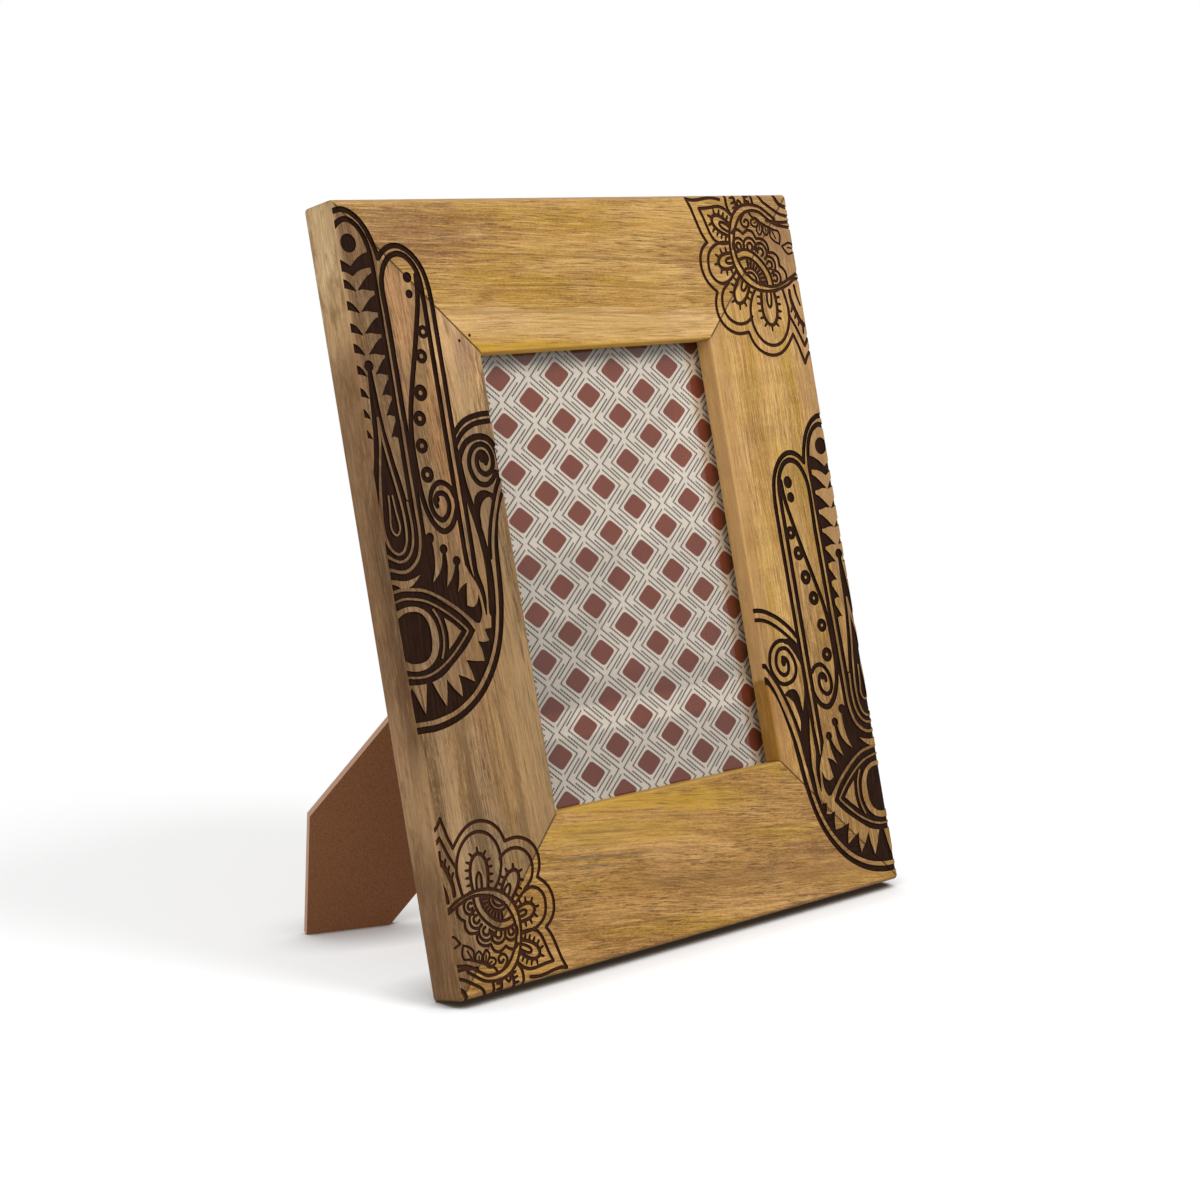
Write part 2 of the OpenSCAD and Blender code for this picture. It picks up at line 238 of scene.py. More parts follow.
def index_finger(beads, hole, dot):
    """The second finger: its outline, the slanting inner line, dots and beads."""
    marks = stroke([(-100.9, 265.2), (-98.4, 267.6), (-95.2, 269.2), (-91.5, 269.5), (-87.5, 267.9),
        (-83.8, 264.4), (-81.2, 259.6), (-79.9, 253.5), (-79.5, 246), (-79.5, 238), (-79.5, 152)], 1.8)
    marks += stroke([(-100.8, 160), (-100.8, 238), (-101, 248), (-101.2, 254), (-100.5, 258.6),
        (-98.6, 262.7), (-95.7, 265.6), (-92.1, 266.6), (-88.6, 265.6), (-85.7, 262.7), (-83.9, 259),
        (-83.2, 254), (-83.1, 247), (-83.1, 240), (-83.1, 158), (-83, 152.5)], 1.9)
    marks += stroke([(-84.9, 258.5), (-85.2, 253.4), (-86.4, 247), (-87.9, 241.5), (-89.4, 236.3),
        (-91.3, 229.9), (-94.4, 220), (-97.2, 210), (-98.7, 201), (-99, 193), (-98.9, 185), (-98.3, 178),
        (-97, 172.5), (-94.6, 167.8), (-91.2, 165.3), (-87.6, 166.5), (-84.6, 170.5), (-83.1, 174)], 1.9)
    marks += disc((-89, 257.9), dot) + disc((-89.3, 251.8), dot - 0.35)
    for x, z, radius in beads:
        marks += ring((x, z), radius, radius - hole)
    marks += area([(-84, 157), (-83.7, 152), (-82.5, 149), (-80.6, 145.8), (-79.2, 142.5), (-78.6, 138.5),
        (-78.1, 133.3)], [(-77.5, 133.3), (-76.8, 138), (-76.8, 142), (-77.5, 145.6), (-78.4, 149),
        (-78.6, 157)])
    marks += stroke([(-81.3, 160), (-81.3, 152), (-80.8, 147.8)], (1.6, 0.2), SMOKED, caps=False)
    return marks


def left_thumb():
    """The left stile's thumb: two arches, scrolls, a hooked leaf and the inner outline down to the palm."""
    marks = stroke([(-79.2, 199.8), (-75.9, 203), (-72.1, 205), (-67.8, 206), (-64, 206.4), (-58, 206.4)],
        1.75)
    marks += stroke([(-79.4, 195.8), (-75.9, 199.6), (-72.1, 201.9), (-68.4, 203.1), (-64, 203.5),
        (-58, 203.8)], 1.65)
    marks += stroke([(-79.2, 188), (-78.2, 191.6), (-74.9, 196), (-71.5, 197.7), (-67.8, 198.2),
        (-64, 197.2), (-61.4, 194.2), (-60.2, 190), (-60.2, 185.5), (-61.6, 181.9)], 2.1)
    marks += stroke([(-62.6, 184.6), (-64.6, 182), (-67.6, 180.4), (-71.2, 181.2), (-73.6, 184.3),
        (-74.4, 188.3), (-73.2, 192.3), (-70.5, 194.8), (-67.3, 195.3), (-64.5, 193.8), (-63.1, 190.6),
        (-63.4, 187.2), (-65, 185), (-67.4, 184.2), (-69.8, 185.6), (-70.7, 188.5), (-69.9, 191.3),
        (-68, 192.4), (-66.3, 191.5), (-65.7, 189.8), (-66.6, 188.3)], 1.75)
    marks += disc((-67.9, 189.9), 1.5)
    marks += stroke([(-79, 193), (-78.7, 186), (-77.9, 179), (-76.7, 173.5), (-75.5, 168.5), (-74.4, 163),
        (-73.5, 156), (-73.2, 150), (-73.7, 142), (-74.7, 134)], (2.1, 3.3))
    marks += stroke([(-58.5, 186), (-60.6, 183.1), (-63.4, 178.8), (-65.9, 173.1), (-68.4, 166.9),
        (-70.3, 160.6), (-71.6, 154)], 1.95)
    marks += area([(-75.3, 170), (-74.8, 175.6), (-72.4, 178), (-69.2, 178.5), (-66, 177.2),
        (-64.5, 176.6)], [(-66.4, 174), (-67.3, 175.7), (-69.6, 175.2), (-71.8, 173.2), (-73, 170),
        (-73.5, 165), (-75.3, 165)])
    marks += stroke([(-83.6, 177.4), (-85.6, 181.2), (-89.5, 183), (-93.2, 181), (-95.1, 176.5),
        (-94, 171.8), (-91, 169.4), (-88, 171.3), (-86.7, 175.3), (-88.2, 178.6), (-91, 179),
        (-92.9, 176.8), (-92.4, 174.6)], 1.7)
    return marks + disc((-91.9, 177), 1.25)


def right_thumb():
    """The right stile's thumb, where the arches and both scrolls are rounder and the leaf is broader."""
    marks = stroke([(59.4, 118.7), (62.5, 118.3), (65.7, 117.3), (68.3, 116.1), (71.4, 114.4),
        (74.4, 112.2), (77.4, 109.6), (79.7, 107), (81.8, 104.5)], 1.5)
    marks += stroke([(59.8, 114.9), (62.7, 114.4), (65.9, 113.3), (69, 111.6), (72, 109.5), (75, 107.1),
        (77.4, 104.9), (79.8, 102.3), (81.4, 99.3)], 1.25)
    marks += stroke([(74.4, 104.5), (72.1, 105.1), (69.5, 105), (66.7, 103.7), (64.5, 101.4), (63.4, 98.7),
        (63.1, 95.9), (63.7, 93.2), (65.2, 90.6), (67, 88.6), (69.3, 87.7), (72.1, 87.8), (74.7, 88.7),
        (76.6, 90.5), (77.5, 93), (77.4, 95.7), (76.5, 98.1), (75.1, 100.3), (73.4, 101.7), (71.4, 102),
        (69.3, 101.5), (67.7, 99.8), (66.8, 97.5), (66.8, 95.3), (67.6, 93.3), (69, 91.8), (70.6, 91.3),
        (72.6, 92.1), (73.4, 94.2), (73.4, 96.2), (72.4, 97.7), (70.8, 98.3)], 1.4)
    marks += disc((71, 96.6), 1.5, squash=1.3)
    marks += area([(73.5, 105.6), (76.1, 105.4), (78.3, 103.7), (80.3, 102), (81.4, 100.3)], [(81.4, 100.3),
        (82.2, 95.1), (82.4, 92.6), (82.6, 89.6), (82.9, 86.5), (82.6, 83.5), (82, 80.5), (81.2, 76),
        (80.3, 71), (79.5, 67), (78.7, 63), (78.3, 59), (77.8, 55), (77.6, 50)], [(75, 50), (75, 55),
        (74.4, 60), (73.5, 64), (74.4, 68.4), (75.1, 71.5), (74.7, 74), (74, 76.8), (72.8, 79.8),
        (70.9, 81.9), (68.8, 83.1)], [(68.6, 83.7), (70.2, 84.7), (72.1, 85.2), (73.9, 85.2), (75.4, 84.4),
        (76.5, 82.8), (77, 80.8), (77.2, 78.6), (77.5, 75.7)], [(77.5, 75.7), (78.9, 79.5), (80, 83),
        (80.4, 87), (80.9, 90), (80.4, 94.3), (79.3, 96.7), (78, 99), (76.4, 101.3), (74.9, 102.9),
        (73, 103.7)])
    marks += stroke([(60.2, 96.6), (61.5, 94.1), (63.3, 91.5), (65.3, 88.5), (66.8, 85.6), (68.3, 82.5),
        (69.6, 79.2), (70.8, 75.8), (72.1, 72), (73.2, 67.6), (74, 63.6), (74.5, 59.8), (75.2, 54)],
        (1.1, 1.9))
    marks += stroke([(86.6, 90.4), (88, 92), (90.2, 92.8), (92.4, 92.6), (94.4, 91), (95.9, 88.7),
        (96.6, 86.1), (96.6, 83.7), (95.7, 81.6), (94, 80.5), (92.2, 80.8), (90.5, 82.4), (89.7, 84.6),
        (89.8, 86.9), (90.8, 88.6), (92.3, 88.8), (93.6, 87.6), (93.7, 86)], 1.5)
    return marks + disc((92, 87.6), 1.2)


def palm_outline():
    """The teeth under the eye and the two outlines round the palm."""
    band = area([(OFF, 99.4), (-110, 99.2), (-105, 99.9), (-100, 101), (-95, 103.1), (-90, 106),
        (-85.5, 109.9), (-80.5, 115.8), (-77.4, 121), (-75.2, 126.2), (-73.5, 132.7), (-72.6, 138.6),
        (-71.9, 145), (-71.5, 152)], [(-74.6, 152), (-75.4, 140), (-75.7, 133)], [(-75.7, 133),
        (-76.7, 128.5)], [(-76.7, 128.5), (-79.8, 128.4)], [(-79.8, 128.4), (-79.3, 126), (-78.6, 124.1)],
        [(-78.6, 124.1), (-81, 123.8), (-83.9, 124.5)], [(-83.9, 124.5), (-82.6, 121), (-82.3, 117)],
        [(-82.3, 117), (-86, 117.4), (-90.7, 118.4)], [(-90.7, 118.4), (-89, 114), (-88.2, 110.2)],
        [(-88.2, 110.2), (-91.4, 112), (-95.3, 113.7)], [(-95.3, 113.7), (-94.7, 109.6), (-95, 105.7)],
        [(-95, 105.7), (-98, 108.8), (-100.9, 112.8)], [(-100.9, 112.8), (-101.6, 108), (-102.7, 103.2)],
        [(-102.7, 103.2), (-105.2, 107.6), (-107.7, 113)], [(-107.7, 113), (-110.2, 113)], [(-110.2, 113),
        (-111.4, 107), (-112.7, 101.8)], [(-112.7, 101.8), (-114.8, 106.6), (-117, 111.8)], [(-117, 111.8),
        (-118.6, 107), (OFF, 104)],)
    channel = stroke([(-58.5, 183.4), (-62.1, 178.1), (-64.6, 173.1), (-67.1, 166.9), (-69, 160.6),
        (-70.1, 153.8), (-70.7, 147.5), (-71.3, 141), (-72.3, 134.6), (-74, 127.5), (-76.8, 120.5),
        (-80.2, 114.8), (-85, 109), (-90, 104.9), (-95, 102), (-100, 100), (-105, 98.9), (-110, 98.3),
        (OFF, 98.4)], 1.25, SMOKED)
    outer = stroke([(-58.5, 181.4), (-62.8, 175), (-65.3, 170), (-67.4, 162.5), (-68.4, 156.3),
        (-68.9, 147.5), (-69.5, 140.5), (-70.8, 133.5), (-72.8, 126), (-76.2, 118), (-80.5, 111.6),
        (-85, 106.6), (-90, 102.8), (-95, 100), (-100, 98.1), (-105, 96.9), (-110, 96.3), (OFF, 96.5)], 2.1)
    return band + outer + channel


def lashes():
    """The burnt field over the eye with its ball-tipped lashes."""
    marks = area(
        [(OFF, 149.6), (-117, 148.6), (-114.4, 146.9)],
        [(-112, 146.6), (-109.5, 147.5), (-105.5, 150.6), (-102.3, 154.6), (-100.5, 158.6), (-99.7, 163)],
        [(-97.3, 162), (-97.2, 157), (-98, 152), (-100, 147.5)],
        [(-100, 147.5), (-96.6, 150.4), (-94.6, 153.6), (-93.5, 158)],
        [(-91.9, 158), (-92, 153), (-92.8, 149), (-93.9, 145.3)],
        [(-93.9, 145.3), (-91, 148.3), (-89.4, 151), (-88.5, 153.4)],
        [(-86.9, 153.4), (-87.3, 149.4), (-88.2, 145.8), (-89.5, 142.6)],
        [(-89.5, 142.6), (-87.3, 144.7), (-84.5, 146)],
        [(-84.5, 146), (-85.2, 142.5), (-86.1, 137.8)],
        [(-86.1, 137.8), (-83.6, 136.9), (-81.4, 138.2), (-80.1, 141.2)],
        [(-80.1, 141.2), (-79.5, 137.5), (-79.8, 133.8), (-81.4, 130.8)],
        [(-84, 131), (-90, 135.8), (-96, 139.9), (-103, 143.6), (-110, 145.2), (OFF, 145)],
    )
    for centre, radius in (((-98.1, 163.6), 1.95), ((-92.7, 159), 1.8), ((-87.6, 154.2), 1.8)):
        marks += disc(centre, radius)
    return marks


def eye():
    """The almond of the eye with its iris, pupil and clear lines."""
    marks = area([(OFF, 144.8), (-115, 145.5), (-110, 145.4), (-105, 144.4), (-100, 142.2), (-95, 139.1),
        (-90, 135.5), (-86.5, 131.8), (-84.2, 128.4)], [(-84.2, 128.4), (-86.4, 125.9), (-90, 122.5),
        (-93.6, 119.8), (-98.2, 116.6), (-101.8, 114.3), (-106.4, 112.8), (-110.9, 112.3), (-115.5, 112.5),
        (OFF, 112.9)],)
    marks += stroke([(OFF, 145.6), (-115, 146.5), (-110, 146.1), (-105, 145.3), (-100, 143.1), (-95, 140.1),
        (-90, 136.4), (-86, 132.8), (-83, 130)], 1.1, TOAST)
    marks += stroke([(OFF, 141.8), (-115, 143.1), (-110, 142.7), (-105, 141.5), (-100, 139), (-95, 135.6),
        (-90.9, 132.2), (-88.3, 129.6), (-87.7, 128.7), (-88.3, 127.8), (-92.7, 123.8), (-96, 121.1),
        (-100, 118.5), (-105, 116.1), (-110, 114.9), (-115, 115.1), (OFF, 116)], 0.8, TOAST)
    marks += disc((-112.6, 128.7), 11.2, SMOKED, squash=1.03, power=2.15, sides=56)
    marks += disc((-112.2, 129.1), 7.7, BURNT, squash=1.21, power=2.5, sides=48)
    marks += stroke([(-101.9, 138), (-100.5, 135.6), (-99.4, 132.4), (-99.1, 129.1), (-99.4, 125.5),
        (-100.3, 122.6), (-101.2, 120.6)], 0.85, TOAST)
    marks += area([(-97.6, 134.6), (-94, 132), (-90.8, 128.9)], [(-90.8, 128.9), (-94, 126),
        (-97.6, 123.1)], [(-97.6, 123.1), (-96.7, 129), (-97.6, 134.6)], kind=SMOKED)
    return marks


LEFT_BEADS = [(-85.8, 237.8, 2.5), (-88.4, 229, 2.7), (-91.5, 215.8, 3.1), (-93.8, 206.6, 2.9),
    (-94.9, 196.7, 2.8), (-94.5, 186.2, 3)]
RIGHT_BEADS = [(-85.8, 237.6, 2.8), (-88.4, 229, 3), (-90.2, 218.9, 3.1), (-92.8, 210, 3),
    (-94.6, 198.6, 2.8), (-94.5, 186.6, 3)]


def smoke():
    """The wood that the heat has browned a little within the hand's outline."""
    return area([(OFF, 282), (-113.5, 283.1), (-108.5, 280.8), (-104.5, 276), (-102.2, 270.5),
        (-100.8, 265.4)], [(-100.8, 265.4), (-95.2, 269.2), (-91.5, 269.5), (-87.5, 267.9), (-83.8, 264.4),
        (-81.2, 259.6), (-79.9, 253.5), (-79.5, 246), (-79.4, 199.7)], [(-79.2, 199.8), (-75.9, 203),
        (-72.1, 205), (-67.8, 206), (-64, 206.4), (-58, 206.4)], [(-58.5, 181.4), (-62.8, 175),
        (-65.3, 170), (-67.4, 162.5), (-68.4, 156.3), (-68.9, 147.5), (-69.5, 140.5), (-70.8, 133.5),
        (-72.8, 126), (-76.2, 118), (-80.5, 111.6), (-85, 106.6), (-90, 102.8), (-95, 100), (-100, 98.1),
        (-105, 96.9), (-110, 96.3), (OFF, 96.5)], kind=SMOKED,)


def left_hand():
    """The left stile's hand, in the order in which its parts cover each other."""
    fingers = left_thumb() + index_finger(LEFT_BEADS, 0.85, 2) + lashes() + middle_finger()
    return smoke() + fingers + palm_outline() + eye()


def right_hand():
    """The right stile's hand: the left one placed anew, but for its thumb."""
    fingers = index_finger(RIGHT_BEADS, 0.65, 2.5) + lashes() + middle_finger()
    return placed(smoke(), mirrored_hand) + right_thumb() + placed(fingers + palm_outline() + eye(),
        mirrored_hand)


# The corner flower, as burnt on the top right corner


def loop_path(foot, tip, half):
    """A long U from one side of its foot round its tip to the other side."""
    foot, tip = Vector(foot), Vector(tip)
    along = tip - foot
    across = Vector((-along.y, along.x)).normalized() * half
    shape = [(0, 0.8), (0.3, 0.98), (0.6, 1), (0.82, 0.8), (0.96, 0.4), (1, 0)]
    left = [foot + along * a + across * b for a, b in shape]
    right = [foot + along * a - across * b for a, b in reversed(shape[:-1])]
    return left + right


def comb(foot, tip, half, teeth):
    """A loop with short burnt teeth all round its outside."""
    tooth = 2.3
    path = smooth(loop_path(foot, tip, half))
    marks = stroke(path, 1.25, straight=True)
    lengths = [0]
    for p, q in zip(path, path[1:]):
        lengths.append(lengths[-1] + (q - p).length)
    for k in range(teeth):
        at = lengths[-1] * (k + 0.5) / teeth
        i = max(j for j in range(len(path) - 1) if lengths[j] <= at)
        p = path[i].lerp(path[i + 1], (at - lengths[i]) / (lengths[i + 1] - lengths[i]))
        along = (path[i + 1] - path[i]).normalized()
        out = Vector((along.y, -along.x))
        if (p - Vector(foot).lerp(Vector(tip), 0.5)).dot(out) < 0:
            out = -out
        marks += stroke([p, p + out * tooth], (1.2, 0.6), straight=True)
    return marks


def petals():
    """Six petals, each a double outline round a comb and a small loop."""
    line = 1.1
    marks = bent([[(58.9, 285.4), (61.3, 284.8), (65.3, 284.8), (68.8, 285.3), (72.3, 285.6), (75.2, 285.4),
        (77.9, 284.9)], [(58.9, 285.4), (60.9, 281.5), (62.3, 277.5), (63.5, 274), (65.1, 270.3),
        (67, 267.5)], [(67, 267.5), (64, 265.3), (62, 262), (61.5, 257.5), (62.8, 253), (65, 250),
        (68.3, 247.3)], [(68.3, 247.3), (66.9, 244.5), (66.3, 240.8), (67, 237), (69.4, 233.4), (73, 231),
        (77, 229.9), (82.5, 230.3)], [(82.5, 230.3), (84, 226.5), (87, 223), (91, 220.9), (95, 220.2),
        (99, 220.8), (103, 223), (106, 225.8), (108.3, 228.3)], [(108.3, 228.3), (110.5, 223),
        (112.7, 216)], [(112.7, 216), (114.5, 218.8), (119, 223)]], line)
    marks += bent([[(65.4, 281.3), (67.1, 277.6), (68.3, 274.3), (69.5, 271.1), (71.4, 268.4), (74.5, 267),
        (80.5, 267)], [(65.4, 281.3), (69.1, 281.4), (72.6, 281.7), (76.1, 282), (78.9, 281.4), (81.4, 280),
        (83.4, 278)], [(79.8, 267.2), (75, 267.2), (70.5, 266), (67, 263), (65.8, 259), (66.2, 255),
        (68.5, 252), (72, 250.6), (76, 251.6), (82, 256.3)], [(75.5, 250.8), (72, 248), (70.3, 244.5),
        (70.3, 240.5), (72, 237), (75, 234.7), (79, 233.8), (83, 234.6), (86, 236.6)], [(91.3, 248.5),
        (88, 245), (85.8, 240), (85.5, 235), (87, 230), (90.5, 226), (95, 224.3), (99.5, 224.8),
        (103.5, 227.5), (106.5, 232), (107.9, 238), (107.3, 243), (106.3, 247.6)], [(108, 236),
        (111, 230.5), (114.2, 223.3)], [(114.2, 223.3), (119, 229.5)]], line)
    combs = [((80.9, 271.9), (72, 277.4), 3, 11), ((89.8, 281), (89.2, 291), 3.1, 12), ((81.3, 260.4),
        (71.7, 258.7), 3.1, 9), ((85.9, 252.6), (78.6, 242.6), 3.5, 10), ((97.4, 247.9), (96.6, 232.6), 4.3,
        13)]
    for foot, tip, half, teeth in combs:
        marks += comb(foot, tip, half, teeth)
    loops = [((81, 272.3), (75.8, 275.2), 1.2), ((81, 260), (75.9, 259.5), 1.1), ((86, 252.2),
        (82.8, 247.4), 1.3), ((98, 247.6), (97.2, 240), 1.3)]
    for foot, tip, half in loops:
        marks += stroke(loop_path(foot, tip, half), 0.95)
    marks += stroke([(88.5, 281.2), (88, 283.3), (88.7, 284.3), (89.7, 283.6), (90.6, 282), (91.7, 281.5)],
        0.9)
    marks += stroke([(83.3, 278.5), (81.9, 281), (81.4, 283.8), (81.8, 288)], line)
    marks += stroke([(97.6, 280.7), (96.8, 283.4), (96.5, 288)], line)
    spine = [(110.3, 246.4), (110.3, 243.3), (111.3, 239.6), (112.5, 236.7), (113.7, 234), (115.5, 231.9)]
    marks += stroke(spine, (1.4, 1.9))
    ticks = [((110.9, 240.2), (109.5, 237.7)), ((112, 236.7), (111, 234.9)), ((113.4, 234.1),
        (112.4, 231.9)), ((115.1, 232.7), (114.7, 228.5))]
    for tick in ticks:
        marks += stroke(tick, (1.1, 0.6), straight=True)
    marks += stroke([(113.6, 248.4), (113.8, 245.8), (114.5, 242.9), (115.4, 240.2)], (1.2, 0.6))
    return marks


def flower_hub():
    """The double ring and what it holds: scallops, a fan, a curl and a vine of leaves."""
    line = 1.05
    outer = [(119, 250), (115, 251.3), (110, 248.9), (104, 247.2), (97.5, 246.6), (90.5, 247.9),
        (84.5, 251.6), (80.8, 257.3), (79.7, 264), (80.8, 271.5), (84.3, 278.5), (89, 281.8), (94.7, 282.6),
        (101, 281.3), (105.1, 278.6), (108.4, 276.4)]
    inner = [(119, 255), (115.1, 253), (110.5, 251), (106, 249.3), (101, 248.4), (95.2, 249.3),
        (90.2, 251.4), (86, 255), (83.5, 258.9), (82.2, 263.5), (82.7, 269), (85.2, 274.2), (88.9, 278.2),
        (94.3, 280), (99.4, 279.5), (103, 277.3), (107.4, 274.4)]
    marks = area(inner, [(107.4, 274.4), (119, 275.5)], kind=SMOKED) + area(outer, inner[::-1], kind=BARE)
    marks += stroke(outer, line) + stroke(inner + [(111.6, 273.4), (119, 272.3)], line)
    marks += stroke([(103.3, 275.9), (106.2, 275.4), (112, 274.9), (119, 275.2)], line)
    marks += stroke([(100.4, 287.5), (102.6, 284), (106, 281.7), (109.3, 279.7), (112.5, 278.2),
        (119, 277)], line)
    marks += stroke([(109.8, 288), (111, 284.3), (113, 282.2), (119, 280.6)], 1.4)
    marks += stroke([(82.2, 262.8), (85.4, 263.9), (89.3, 263.9), (92.7, 262.5), (95.3, 260.5),
        (97.8, 257.9), (99.8, 254.9), (101, 251.8), (101.3, 248.5)], line)
    marks += stroke([(83.6, 260), (87, 260.7), (90.4, 260.1), (92.9, 258.6), (95.2, 256.2), (97.1, 253.4),
        (98, 250)], line)
    scallops = [((84.8, 265.6), 1.3, 3.3), ((91.2, 265.2), 1.5, 3.6), ((96.9, 262.8), 1.6, 3.7),
        ((101, 257.4), 1.5, 3.5), ((103.2, 251.9), 1.3, 3.2)]
    for centre, small, large in scallops:
        out = math.degrees(math.atan2(centre[1] - 251.5, centre[0] - 88.5))
        marks += arc(centre, small, out - 130, out + 130, 0.95)
        marks += arc(centre, large, out - 105, out + 105, 0.95)
    marks += bent([[(82, 271), (84, 272.4), (86.4, 272), (88.3, 270.6)], [(88.3, 270.6), (91.4, 272),
        (94.1, 271.1), (95.6, 268.4)], [(95.6, 268.4), (98.5, 268.3), (101, 266.8), (101.9, 264.6),
        (101.6, 262.5)], [(101.6, 262.5), (104.7, 262.2), (106.8, 260.1), (106.9, 256.9)], [(106.9, 256.9),
        (108.9, 255.5), (110, 253.4), (109.9, 251.4)]], 0.95)
    marks += fan((88.6, 251.2), line)
    marks += vine(line)
    return marks


def arc(centre, radius, start, end, width):
    """A burnt line along part of a circle, between two angles in degrees."""
    path = []
    for k in range(9):
        a = math.radians(start + (end - start) * k / 8)
        path.append((centre[0] + radius * math.cos(a), centre[1] + radius * math.sin(a)))
    return stroke(path, width)


def fan(centre, line):
    """A dome with clear spokes that spread from it."""
    marks = arc(centre, 3.4, 130, -20, line * 0.85) + arc(centre, 5.2, 130, -20, line * 0.85)
    for k in range(8):
        a = math.radians(92 - 14 * k)
        ray = Vector((math.cos(a), math.sin(a)))
        spoke = [ray * reach + Vector(centre) for reach in (5.4, 8.2)]
        marks += stroke(spoke, (0.8, 1.3), straight=True)
    return marks


def vine(line):
    """A curl, a stem with four leaves along the ring's upper side, and a plain leaf at the frame's edge."""
    thin = 0.65
    marks = stroke([(91.4, 279.4), (89.4, 277.6), (88.3, 275.5), (89.2, 273.8), (91.1, 273.2),
        (92.6, 274.4), (92.5, 275.8), (91.2, 276.4), (90.2, 275.5)], line * 0.8)
    marks += stroke([(94, 279), (95.4, 277.3), (97.7, 276.7), (99.7, 275), (102, 273.9), (106.6, 271.9)],
        line * 0.8)
    leaves = [[(96.8, 276.6), (94.6, 276.1), (94.1, 274.7), (95.9, 273.4), (97.5, 273.6), (98.2, 275.1),
        (96.8, 276.6)], [(98.2, 274.8), (96.8, 271.9), (98.2, 270), (99.8, 271.5), (99.9, 274.3),
        (98.2, 274.8)], [(101.2, 273.8), (100.5, 271.6), (101.8, 269.8), (103.6, 271), (103.9, 272.9),
        (101.2, 273.8)], [(105, 272.2), (104.3, 269.4), (106.1, 267.3), (109, 265.9)], [(109, 265.9),
        (110, 268.9), (109.4, 271.2), (106.8, 271.9)], [(118.5, 263.6), (113.4, 261.7), (110.2, 265)],
        [(118.5, 263.6), (115.2, 266.3), (110.2, 265)]]
    veins = [[(97.3, 275.4), (96, 274.9)], [(98.9, 273.8), (98.4, 272)], [(102.2, 273.2), (102, 271.6)],
        [(105.8, 271.3), (107.4, 268.4)], [(117.3, 263.8), (113.6, 264.4)]]
    for outline in leaves:
        marks += stroke(outline, thin)
    for vein in veins:
        marks += stroke(vein, thin * 0.6, straight=True)
    return marks


def flower():
    """The whole corner flower."""
    return petals() + flower_hub()


def placed(marks, change):
    """The marks with each point moved by a function."""
    return [(kind, [change(p) for p in outline]) for kind, outline in marks]


# Where the right hand was drawn otherwise than the left one: centre, reach and shift
REDRAWN = [((66, 74), 14, (-1.5, 0)), ((92, 78), 9, (-1.3, 0.8)), ((118, 176), 16, (-1.5, 0)), ((114, 152),
    24, (-0.5, -0.9)), ((116, 130), 25, (-1, 0))]


def mirrored_hand(p):
    """Where a point of the left hand lies in the right one, which is a little larger and turned."""
    q = Vector((-1.0101 * p.x - 0.0078 * p.y + 2.95, 1.0101 * p.y - 0.0078 * p.x - 92.96))
    moved = q.copy()
    for centre, reach, shift in REDRAWN:
        moved += Vector(shift) * math.exp(-((q - Vector(centre)).length / reach) ** 2)
    return moved


def lower_flower(p):
    """Where a point of the top right flower lies in the bottom left one."""
    return Vector((0.5 - 0.9303 * p.x - 0.0458 * p.y, 262.94 - 0.0084 * p.x - 0.9134 * p.y))


# Carved rails


def in_scene(name, data):
    """A new object that holds this data, linked to the scene."""
    made = bpy.data.objects.new(name, data)
    bpy.context.scene.collection.objects.link(made)
    return made


HALF_W = FRAME_W / 2
RAILS = {
    "left_stile": (FRAME_H, lambda s, d: (d - HALF_W, s), lambda x, z: (z, x + HALF_W)),
    "right_stile": (FRAME_H, lambda s, d: (HALF_W - d, s), lambda x, z: (z, HALF_W - x)),
    "top_rail": (FRAME_W, lambda s, d: (s - HALF_W, FRAME_H - d), lambda x, z: (x + HALF_W, FRAME_H - z)),
    "bottom_rail": (FRAME_W, lambda s, d: (s - HALF_W, d), lambda x, z: (x + HALF_W, z)),
}


def face_depth(s, d, length):
    """How far behind the front plane the rail's face lies at s along it and d in from its outer edge."""
    y = 0
    if d < OUTER_EASE:
        y = OUTER_EASE - math.sqrt(max(0, OUTER_EASE**2 - (OUTER_EASE - d) ** 2))
    lip = RAIL_W - d
    if lip < INNER_EASE:
        y = INNER_EASE - math.sqrt(max(0, INNER_EASE**2 - (INNER_EASE - lip) ** 2))
    mitre = min(s - d, length - s - d) / math.sqrt(2)
    return y + max(0, MITRE_BEVEL - mitre) * MITRE_DROP


def cut_depth(d):
    """Depth of the burnt marks, which run out towards the outer edge."""
    return CUT_AT_EDGE + (CUT - CUT_AT_EDGE) * min(1, d / FADE)


def round_corner(x, z):
    """Rounds the frame's four outer corners as seen from the front."""
    a = HALF_W - abs(x)
    b = min(z, FRAME_H - z)
    if a >= CORNER_R or b >= CORNER_R:
        return x, z
    u, v = CORNER_R - a, CORNER_R - b
    k = max(u, v) / max(1e-9, math.hypot(u, v))
    x = math.copysign(HALF_W - CORNER_R + u * k, x)
    top = z > FRAME_H / 2
    z = FRAME_H - CORNER_R + v * k if top else CORNER_R - v * k
    return x, z


def stations(length):
    """Places along a rail's outer edge: close together at its corners."""
    near = [0, 0.35, 0.75, 1.2, CORNER_R]
    count = round((length - 2 * CORNER_R) / STATION_PITCH)
    between = [CORNER_R + (length - 2 * CORNER_R) * k / count for k in range(1, count)]
    return near + between + [length - s for s in reversed(near)]


def ease_lines():
    """Distances from the outer and inner edge at which the eased faces are folded."""
    outer = [OUTER_EASE * (1 - math.cos(math.radians(a))) for a in (18, 36, 54, 72, 90)]
    inner = [RAIL_W - INNER_EASE * (1 - math.cos(math.radians(a))) for a in (30, 60, 90)]
    return outer + inner


def signed_area(outline):
    """The outline's area, negative where it runs clockwise."""
    return sum(p.x * q.y - q.x * p.y for p, q in zip(outline, outline[1:] + outline[:1])) / 2


